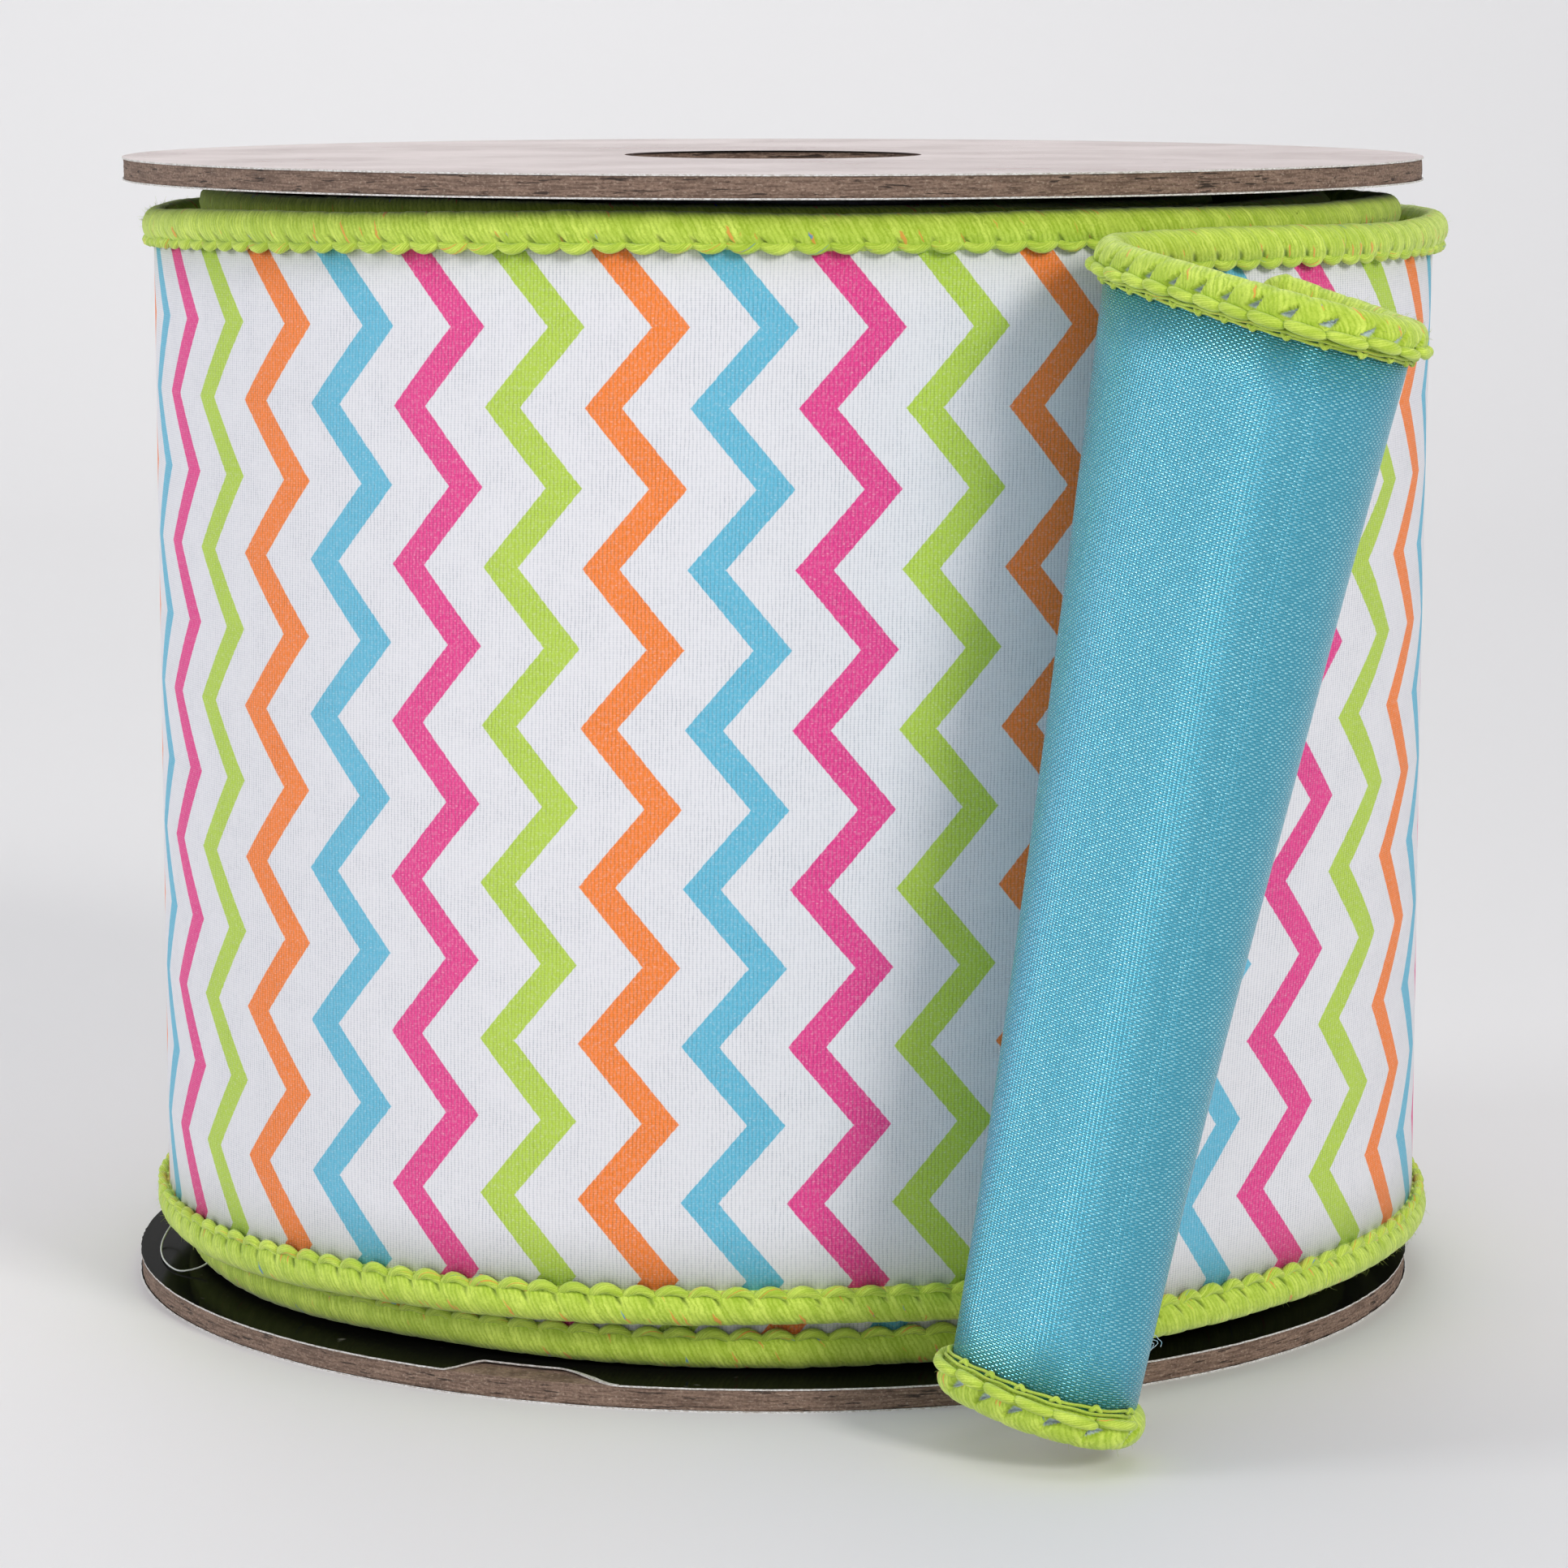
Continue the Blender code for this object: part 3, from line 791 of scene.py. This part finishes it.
def wrapped_cord(name, edge, start, end, step, around):
    """A length of the cord, ring by ring, with its bundles and the holes between them at the back."""
    reach = np.arange(start, end, step)
    points, along, outwards, backwards = edge_frame(edge, reach)
    sign = -1.0 if edge == "lower" else 1.0
    turn = sign * np.linspace(0.0, 2 * math.pi, around + 1)[None, :]
    lift = CORD_CENTRE + CORD_WAVER * np.sin(reach * 95.0) * np.sin(reach * 37.0 + 1.0)
    centre = points + outwards * lift[:, None] + backwards * inset_at(reach)[:, None]
    lean = -sign * BUNDLE_LEAN * CORD_HALF_HEIGHT * 2 * np.cos(turn)
    bundles = (reach[:, None] + lean) / BUNDLE_PITCH
    off_seam = np.abs(bundles - np.round(bundles))
    groove = np.exp(-((off_seam / 0.10) ** 2))
    from_crest = np.degrees(turn) % 360.0
    down = np.clip((from_crest - HOLE_TOP) / (HOLE_BOTTOM - HOLE_TOP), 0.0, 1.0)
    half_width = HOLE_HALF_WIDTH * down * (down < 1.0) + 1e-6
    finest = step < HOLE_RINGS
    hole = np.clip(2.2 * (1.0 - off_seam / half_width), 0.0, 1.0) * finest
    crease = np.exp(-((off_seam / 0.085) ** 2) - ((from_crest - CREASE_MIDDLE) / CREASE_SPREAD) ** 2)
    swell = 0.022 * scatter(np.floor(bundles), 3)
    radius = (1.0 - BUNDLE_GROOVE * groove + swell) * (1.0 - HOLE_DEPTH * hole) - CREASE_DEPTH * crease
    if finest:
        radius *= np.sqrt(np.clip((end - reach) / CORD_HALF_HEIGHT, 0.04, 1.0))[:, None]
    height = (radius * np.cos(turn) * CORD_HALF_HEIGHT)[..., None]
    depth = (radius * np.sin(turn) * CORD_HALF_DEPTH)[..., None]
    rings = centre[:, None] + outwards[:, None] * height + backwards[:, None] * depth
    fan = (bundles - np.floor(bundles) - 0.5) * BUNDLE_PITCH * 0.9 * half_width / (0.5 - half_width)
    around_place = np.broadcast_to(turn * sign * CORD_HALF_HEIGHT, radius.shape)
    flat = np.stack([reach[:, None] + fan, around_place], axis=-1) * UV_SCALE
    cord = lofted_mesh(name, rings[None, :, :-1], flat[None], closed=True)
    for kind, depths in (("hole", hole), ("crease", crease)):
        depths = np.ascontiguousarray(depths[:, :-1], dtype=np.float32).ravel()
        cord.data.attributes.new(kind, "FLOAT", "POINT").data.foreach_set("value", depths)
    return cord


def strand_noise(tree, slanted, around, squeeze, scale, detail):
    """Noise in features per millimetre, drawn out along the slanting strands."""
    place = {0: slanted, 1: times(tree, around, squeeze)}
    place = add_node(tree, "ShaderNodeCombineXYZ", place).outputs[0]
    inputs = {"Vector": place, "Scale": scale, "Detail": detail}
    return add_node(tree, "ShaderNodeTexNoise", inputs).outputs[0]


def yarn_group():
    """Wound yarn: the height of slanting strands, with loose fibres along them, and their shade, a painted
    highlight and shade from that height mixed with each strand's own tone.
    """
    tree, given, result = start_group("Wound yarn", ("Pitch", "Slant"), ("Height", "Shade", "Fleck"))
    place, along, around = flat_millimetres(tree)
    drift = fine_noise(tree, place, 1.6, 2.0)
    slanted = work_out(tree, "MULTIPLY_ADD", around, given["Slant"], along)
    slanted = work_out(tree, "MULTIPLY_ADD", drift, 0.45, slanted)
    slanted = work_out(tree, "MULTIPLY_ADD", fine_noise(tree, place, 11.0), 0.55, slanted)
    strands = work_out(tree, "DIVIDE", slanted, given["Pitch"])
    crown = work_out(tree, "SINE", times(tree, work_out(tree, "FRACT", strands), math.pi))
    fibres = strand_noise(tree, slanted, around, 0.40, 3.6, 2.0)
    strand = {"W": work_out(tree, "FLOOR", strands)}
    tone = add_node(tree, "ShaderNodeTexWhiteNoise", strand, noise_dimensions="1D")
    fluff = work_out(tree, "MULTIPLY_ADD", fine_noise(tree, place, 60.0), 0.50, times(tree, crown, 0.24))
    height = work_out(tree, "MULTIPLY_ADD", fibres, 0.65, fluff)
    shade = work_out(tree, "MULTIPLY_ADD", tone.outputs[0], 0.20, times(tree, height, 0.75))
    fleck = remap(tree, strand_noise(tree, slanted, around, 0.16, 2.0, 0.0), 0.74, 0.78)
    give(tree, result, {"Height": height, "Shade": shade, "Fleck": fleck})
    return tree


YARN = yarn_group()


def lime_yarn(name, slant, bump):
    material, tree = start_material(name)
    yarn = use_group(tree, YARN, {"Pitch": YARN_PITCH, "Slant": slant})
    place = object_place(tree)
    patches = fine_noise(tree, place, 420.0)
    # the colour runs from deep to lit with each strand's own tone and with its height, which paints highlight
    # on crowns and fibres and shade between them
    colour = tinted(tree, YARN_DEEP_AND_SHADED, YARN_LIT, yarn["Shade"], 0.36, 0.94)
    colour = tinted(tree, colour, YARN_DEEP_AND_SHADED, patches, 0.35, 0.65, 0.0, 0.40)
    fleck = tinted(tree, *FLECKS, patches, 0.60, 0.64)
    colour = blend_colours(tree, times(tree, yarn["Fleck"], 0.8), colour, fleck)
    # painted shade in the cord's creases between bundles, where the cord is also dented
    crease = add_node(tree, "ShaderNodeAttribute", attribute_name="crease").outputs["Fac"]
    colour = tinted(tree, colour, YARN_CREASE_SHADE, crease, 0.1, 0.9, 0.0, 0.75)
    hole = add_node(tree, "ShaderNodeAttribute", attribute_name="hole").outputs["Fac"]
    colour = tinted(tree, colour, HOLE_SHADE, hole, 0.35, 0.75)
    return finished(material, {
        "Base Color": colour,
        "Normal": bumped(tree, yarn["Height"], bump),
        "Roughness": 0.72,
        "Specular IOR Level": 0.35,
        "Sheen Weight": 0.25,
        "Sheen Roughness": 0.5,
    })


LIME_YARN = lime_yarn("lime_wrapped_yarn", slant=-0.45, bump=0.085 * MM)
FREE_START = float(LOW_REACH[len(ANGLES) - 1])
SPIRAL_END = float(LOW_REACH[np.searchsorted(ANGLES, WINDING[0][0])])
CORD_STRETCHES = (
    # part of the ribbon, ring spacing, points round
    ("core_turns", 2.4 * MM, 8),
    ("inner_turns", 0.75 * MM, 12),
    ("outer_turn", 0.36 * MM, 22),
    ("free_end", 0.15 * MM, 44),
)
for edge, reaches in (("lower", LOW_REACH), ("upper", HIGH_REACH)):
    ends = (reaches[0], SPIRAL_END, 0.0, FREE_START, reaches[-1])
    for (part, step, around), start, end in zip(CORD_STRETCHES, ends, ends[1:]):
        cord = wrapped_cord(f"edging_{edge}_{part}", edge, start, end + step / 2, step, around)
        cord.data.materials.append(LIME_YARN)
        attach(cord, "root")
        if part == "outer_turn":
            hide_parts(f"wound_edging_{edge}", f"loose_edging_{edge}")


# A chain stitch holds each cord to the cloth. On the printed side its loops show as a row of
# small slanting scallops that lap each other, and on the lining's side as a ladder: knots
# hooked into the satin, two thin threads, and a row of fat leaf-shaped loops.
SCALLOP = (
    # along, in from the cloth's edge, off the face, thread's radius (mm)
    (-0.70, -1.10, 0.50, 0.22),
    (-0.05, -0.56, 0.76, 0.40),
    (0.75, -0.04, 0.90, 0.50),
    (1.55, -0.04, 0.90, 0.48),
    (2.30, -0.52, 0.80, 0.39),
    (2.85, -1.12, 0.60, 0.22),
)
# how far the scallops' arches keep their height, which was pulled out of them on the upper edge
SCALLOP_ARCHES = {"lower": 0.80, "upper": 0.56}
SCALLOP_PLACE = -0.62
LEAF = (
    # along, in from the cloth's edge, off the lining, thread's radius (mm)
    (-0.18, -1.08, 1.02, 0.24),
    (0.30, -1.03, 1.40, 0.45),
    (1.35, -0.93, 1.52, 0.52),
    (2.40, -0.84, 1.40, 0.45),
    (2.88, -0.78, 1.02, 0.24),
)
KNOT = (
    # along, in from the cloth's edge, off the lining, thread's radius (mm)
    (-0.46, -0.16, 0.56, 0.16),
    (-0.14, 0.14, 0.50, 0.25),
    (0.0, 0.22, 0.48, 0.27),
    (0.14, 0.14, 0.50, 0.25),
    (0.46, -0.16, 0.56, 0.16),
)
RAIL_PLACES = (-0.10 * MM, 0.24 * MM)
RAIL_HEIGHTS = (0.46 * MM, 0.80 * MM)
RAIL_THREAD = 0.15 * MM


def stitch_tubes(name, centres, radii, normals, around):
    """Many short threads as one mesh: centres[thread, ring], radii to match."""
    along = np.gradient(centres, axis=1)
    along /= np.linalg.norm(along, axis=-1, keepdims=True) + 1e-12
    side = np.cross(normals, along)
    side /= np.linalg.norm(side, axis=-1, keepdims=True) + 1e-12
    up = np.cross(along, side)
    turn = np.linspace(0.0, 2 * math.pi, around + 1)
    rings = centres[:, :, None] + radii[:, :, None, None] * (
        side[:, :, None] * np.cos(turn)[:, None] + up[:, :, None] * np.sin(turn)[:, None])
    length = np.cumsum(np.linalg.norm(np.diff(centres, axis=1, prepend=centres[:, :1]), axis=-1), axis=1)
    length += np.arange(len(centres))[:, None] * 7.3 * MM
    flat = np.stack(np.broadcast_arrays(length[:, :, None], turn * 0.4 * MM), axis=-1) * UV_SCALE
    return lofted_mesh(name, rings[:, :, :-1], flat, closed=True)


def smooth_rows(rows, steps):
    """Points along a smooth curve through a table's rows."""
    rows = np.array(rows)
    spots = np.linspace(0, len(rows) - 1, steps)
    padded = np.concatenate([2 * rows[:1] - rows[1:2], rows, 2 * rows[-1:] - rows[-2:-1]])
    k = np.minimum(spots.astype(int), len(rows) - 2)
    t = (spots - k)[:, None]
    a, b, c, d = (padded[k + n] for n in range(4))
    square = (2 * a - 5 * b + 4 * c - d) * t ** 2
    cube = (3 * b - a - 3 * c + d) * t ** 3
    return 0.5 * (2 * b + (c - a) * t + square + cube)


def along_edge(name, edge, table, numbers, to_back, around, steps):
    """A table's little thread, repeated at each bundle along an edge, on one side of the cloth."""
    rows = smooth_rows(table, steps)
    if not to_back:
        rows[:, 1] = SCALLOP_PLACE + SCALLOP_ARCHES[edge] * (rows[:, 1] - SCALLOP_PLACE)
    sign = 1.0 if edge == "upper" else -1.0
    reach = numbers[:, None] * BUNDLE_PITCH + sign * rows[None, :, 0] * MM
    reach = reach + 0.10 * MM * scatter(numbers, 5)[:, None]
    points, _, outwards, backwards = edge_frame(edge, reach)
    inwards = (rows[:, 1] * (1 + 0.16 * scatter(numbers, 8)[:, None])) * MM
    off = rows[:, 2] * MM * (1.0 if to_back else -1.0)
    centres = points - outwards * inwards[..., None] + backwards * off[None, :, None]
    if not to_back:
        centres += backwards * (inset_at(reach) * np.clip(-rows[:, 1], 0.0, 1.0))[..., None]
    radii = rows[:, 3] * MM * (1 + 0.10 * scatter(numbers, 11)[:, None])
    return stitch_tubes(name, centres, radii, backwards, around)


def lining_ladder(edge, numbers):
    """The ladder's two rails and its leaf loops, for the stretch where the lining can be seen."""
    start, end = numbers[0] * BUNDLE_PITCH, numbers[-1] * BUNDLE_PITCH
    made = []
    for k, place in enumerate(RAIL_PLACES):
        reach = np.arange(start, end, 0.4 * MM)[None]
        points, _, outwards, backwards = edge_frame(edge, reach)
        waver = 0.06 * MM * np.sin(reach / BUNDLE_PITCH * 2 * math.pi + 2.0 * k)
        centres = points + outwards * (place + waver)[..., None] + backwards * RAIL_HEIGHTS[k]
        radii = np.full(reach.shape, RAIL_THREAD)
        made.append(stitch_tubes(f"rail_{edge}_{k}", centres, radii, backwards, 8))
    made.append(along_edge(f"leaves_{edge}", edge, LEAF, numbers, True, 10, 14))
    made.append(along_edge(f"knots_{edge}", edge, KNOT, numbers, True, 8, 9))
    return made


def joined(name, things):
    """Several meshes as one piece."""
    bpy.ops.object.select_all(action="DESELECT")
    for thing in things:
        thing.select_set(True)
    bpy.context.view_layer.objects.active = things[0]
    bpy.ops.object.join()
    things[0].name = name
    things[0].data.name = name
    return things[0]


STITCH_YARN = lime_yarn("lime_stitch_yarn", slant=2.6, bump=0.07 * MM)
for edge, reaches in (("lower", LOW_REACH), ("upper", HIGH_REACH)):
    whole = np.arange(-120, int(reaches[-1] / BUNDLE_PITCH))
    seen = np.arange(int(LOOSE_REACH / BUNDLE_PITCH) + 2, int(reaches[-1] / BUNDLE_PITCH))
    scallops = along_edge(f"scallops_{edge}", edge, SCALLOP, whole, False, 8, 10)
    ladder = joined("ladder", lining_ladder(edge, seen))
    for made, name in ((scallops, f"chain_stitch_{edge}"), (ladder, f"ladder_stitch_{edge}")):
        made.name = name
        made.data.name = name
        made.data.materials.append(STITCH_YARN)
        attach(made, "root")


# The yarn is spun from loose staple and brushed a little by handling, so fine fibres stand off
# the outer turns' cords everywhere.
FIBRES = 6500
FIBRE_RADIUS = 0.013 * MM
FIBRE_LENGTH = (0.25 * MM, 0.80 * MM)


def fibre_fuzz(edge, reaches, seed):
    chance = np.random.default_rng(seed)
    reach = chance.uniform(0.0, reaches[-1], FIBRES)
    points, along, outwards, backwards = edge_frame(edge, reach)
    turn = chance.uniform(0.0, 2 * math.pi, FIBRES)
    away = outwards * np.cos(turn)[:, None] + backwards * np.sin(turn)[:, None]
    centre = points + outwards * CORD_CENTRE + backwards * inset_at(reach)[:, None]
    root = centre + (outwards * (np.cos(turn) * CORD_HALF_HEIGHT)[:, None]
                     + backwards * (np.sin(turn) * CORD_HALF_DEPTH)[:, None]) * 0.93
    length = chance.uniform(*FIBRE_LENGTH, FIBRES)
    lie = along * chance.uniform(-1.0, 1.0, FIBRES)[:, None] + chance.normal(0.0, 0.35, (FIBRES, 3))
    parts = np.linspace(0.0, 1.0, 3)
    bend = lie[:, None] * (parts ** 1.5)[:, None] + away[:, None] * (parts * (1 - 0.4 * parts))[:, None] * 0.6
    centres = root[:, None] + bend * length[:, None, None]
    radii = np.broadcast_to(FIBRE_RADIUS * (1.1 - 0.7 * parts), centres.shape[:2])
    sides = np.broadcast_to(away[:, None], centres.shape)
    return stitch_tubes(f"fuzz_{edge}", centres, radii, sides, 3)


for edge, reaches, seed in (("lower", LOW_REACH, 12), ("upper", HIGH_REACH, 13)):
    fuzz = fibre_fuzz(edge, reaches, seed)
    fuzz.data.materials.append(STITCH_YARN)
    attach(fuzz, "root")


# A white thread end has sprung from between the wound turns at the left and lies in a loop on
# the lower disc, and a few fine threads have frayed from the cut end at the foot of the curl.
STRAY_THREAD = (
    # angle about the axis, distance from it (mm), height (mm)
    (-181.5, 59.6, 6.4),
    (-178.3, 61.2, 3.9),
    (-173.8, 62.3, 2.7),
    (-168.6, 62.6, 2.45),
    (-164.1, 62.4, 2.45),
    (-161.8, 61.6, 2.5),
    (-161.4, 59.6, 3.0),
    (-162.0, 57.8, 4.2),
)
STRAY_RADIUS = 0.085 * MM
FRAYED = (
    # x, y, z (mm) along each thread
    ((30.7, -68.4, 8.0), (31.8, -68.0, 9.0), (32.4, -68.0, 9.75), (32.9, -68.0, 10.2), (32.9, -68.0, 10.5),
     (32.5, -68.0, 10.6), (32.2, -68.1, 10.4)),
    ((31.0, -68.4, 10.1), (32.2, -68.0, 10.7), (32.7, -67.9, 11.0), (33.0, -68.0, 10.7), (33.3, -68.0, 10.4),
     (33.2, -68.1, 10.0)),
    ((30.9, -68.4, 9.0), (31.9, -68.1, 10.1), (32.6, -68.0, 10.3), (32.3, -68.0, 9.7), (31.5, -68.1, 9.3)),
    ((30.6, -68.5, 7.6), (31.4, -68.2, 7.2), (31.3, -68.2, 6.4)),
)
FRAYED_RADIUS = 0.032 * MM
STRAY_WHITE = (0.62, 0.63, 0.62, 1.0)
FRAYED_BLUE = (0.16, 0.42, 0.52, 1.0)
COTTON_PALE = (0.85, 0.86, 0.85, 1.0)


def thread_end(name, points, radius):
    centres = smooth_rows(points, 12 * len(points))[None]
    radii = np.full(centres.shape[:2], radius)
    upright = np.broadcast_to(np.array((0.0, 0.35, 0.94)), centres.shape)
    return stitch_tubes(name, centres, radii, upright, 8)


def cotton(name, colour):
    material, tree = start_material(name)
    place = object_place(tree)
    fibres = fine_noise(tree, place, 6000.0)
    paler = tinted(tree, colour, COTTON_PALE, fibres, 0.3, 0.7)
    return finished(material, {"Base Color": paler, "Roughness": 0.7})


stray_points = []
for angle, reach, height in STRAY_THREAD:
    turn = math.radians(angle)
    x = AXIS.x + reach * MM * math.cos(turn)
    y = AXIS.y + reach * MM * math.sin(turn)
    stray_points.append((x, y, height * MM))
stray = thread_end("stray_thread", stray_points, STRAY_RADIUS)
stray.data.materials.append(cotton("white_cotton", STRAY_WHITE))
ends = [thread_end("frayed", np.array(points) * MM, FRAYED_RADIUS) for points in FRAYED]
frayed = joined("frayed_threads", ends)
frayed.data.materials.append(cotton("pale_blue_cotton", FRAYED_BLUE))
for thread in (stray, frayed):
    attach(thread, "root")


# The stage is a sheet of pale paper that runs from the table up behind the roll, lit softly
# from the upper right and the front. The camera stands where the photographer's stood.
TABLE_WHITE = (0.81, 0.80, 0.80, 1.0)
TABLE_GREY = (0.7, 0.7, 0.7, 1.0)
SWEEP_WIDTH = 4.4
SWEEP_FRONT = -2.4
SWEEP_BACK = 1.2
SWEEP_HEIGHT = 1.6
SWEEP_BEND = 0.45
SWEEP_STEPS = 24
CAMERA_PLACE = (AXIS.x + 1.10 * MM, AXIS.y - 541.6 * MM, 126.7 * MM)
CAMERA_PITCH = 8.2146
CAMERA_LENS = 123.79
CAMERA_SENSOR = 36.0
WORLD_COLOUR = (0.93, 0.95, 1.0, 1.0)
WORLD_STRENGTH = 0.45
ROLL_MIDDLE = (0.0, 0.0, 0.055)
GLOW_HEIGHT = 0.10
LAMPS = (
    # name, place, what it is aimed at, size, watts, colour
    ("key", (0.84, -1.08, 0.75), ROLL_MIDDLE, 0.39, 9.9, (1.0, 0.985, 0.96)),
    ("left_fill", (-0.94, -0.24, 0.45), ROLL_MIDDLE, 0.40, 3.1, (0.97, 0.98, 1.0)),
    ("front_fill", (-0.20, -0.95, 0.24), ROLL_MIDDLE, 0.22, 0.60, (1.0, 1.0, 1.0)),
    ("left_glow", (-0.92, -0.26, 0.055), ROLL_MIDDLE, 0.34, 3.3, (0.97, 0.98, 1.0)),
    ("front_glow", (-0.14, -0.95, 0.055), ROLL_MIDDLE, 0.20, 0.90, (1.0, 1.0, 1.0)),
    ("top_wash", (0.0, 0.10, 1.15), ROLL_MIDDLE, 0.9, 2.4, (1.0, 1.0, 1.0)),
    ("back_wash", (-0.12, 0.98, 0.9), (-0.12, 0.98, 0.0), 0.6, 2.3, (1.0, 1.0, 1.0)),
)


def is_rear_edge(edge):
    """Whether an edge of the sweep lies on the table along its back."""
    ends = [sweep.data.vertices[v].co for v in edge.vertices]
    return all(abs(end.y - SWEEP_BACK) < MM and abs(end.z) < MM for end in ends)


bpy.ops.object.select_all(action="DESELECT")
bpy.ops.mesh.primitive_plane_add(size=1.0, location=(0.0, 0.0, 0.0))
sweep = bpy.context.active_object
sweep.name = "paper_sweep"
for vertex in sweep.data.vertices:
    vertex.co.x *= SWEEP_WIDTH
    vertex.co.y = SWEEP_BACK if vertex.co.y > 0 else SWEEP_FRONT
select_where(sweep, "EDGE", is_rear_edge)
bpy.ops.mesh.extrude_region_move(TRANSFORM_OT_translate={"value": (0.0, 0.0, SWEEP_HEIGHT)})
select_where(sweep, "EDGE", is_rear_edge)
bpy.ops.mesh.bevel(offset=SWEEP_BEND, segments=SWEEP_STEPS)
bpy.ops.object.mode_set(mode="OBJECT")
bpy.ops.object.shade_smooth()
table_paper, tree = start_material("pale_table_paper")
mottle = remap(tree, fine_noise(tree, object_place(tree), 2.5), 0.3, 0.7, 0.0, 0.06)
table_colour = blend_colours(tree, mottle, TABLE_WHITE, TABLE_GREY)
sweep.data.materials.append(finished(table_paper, {"Base Color": table_colour, "Roughness": 0.6}))

world = bpy.data.worlds.new("soft_studio")
bpy.context.scene.world = world
world.use_nodes = True
background = world.node_tree.nodes["Background"]
background.inputs["Color"].default_value = WORLD_COLOUR
background.inputs["Strength"].default_value = WORLD_STRENGTH

for name, place, aim, size, watts, colour in LAMPS:
    lamp = bpy.data.lights.new(name, "AREA")
    lamp.size = size
    lamp.energy = watts
    lamp.color = colour
    holder = bpy.data.objects.new(name, lamp)
    bpy.context.scene.collection.objects.link(holder)
    holder.location = place
    holder.visible_camera = False
    # the glows, which stand lower than the top disc's face, make the satin's sheen and nothing else
    if name.endswith("glow"):
        lamp.shape = "RECTANGLE"
        lamp.size_y = GLOW_HEIGHT
        holder.visible_diffuse = False
    elif not name.endswith("wash"):
        holder.visible_glossy = False
    holder.rotation_euler = (Vector(aim) - Vector(place)).to_track_quat("-Z", "Y").to_euler()

camera = bpy.data.objects.new("camera", bpy.data.cameras.new("camera"))
bpy.context.scene.collection.objects.link(camera)
camera.location = CAMERA_PLACE
camera.rotation_euler = (math.radians(90.0 - CAMERA_PITCH), 0.0, 0.0)
camera.data.lens = CAMERA_LENS
camera.data.sensor_width = CAMERA_SENSOR
camera.data.clip_start = 0.01
bpy.context.scene.camera = camera
bpy.context.scene.view_settings.view_transform = "Standard"
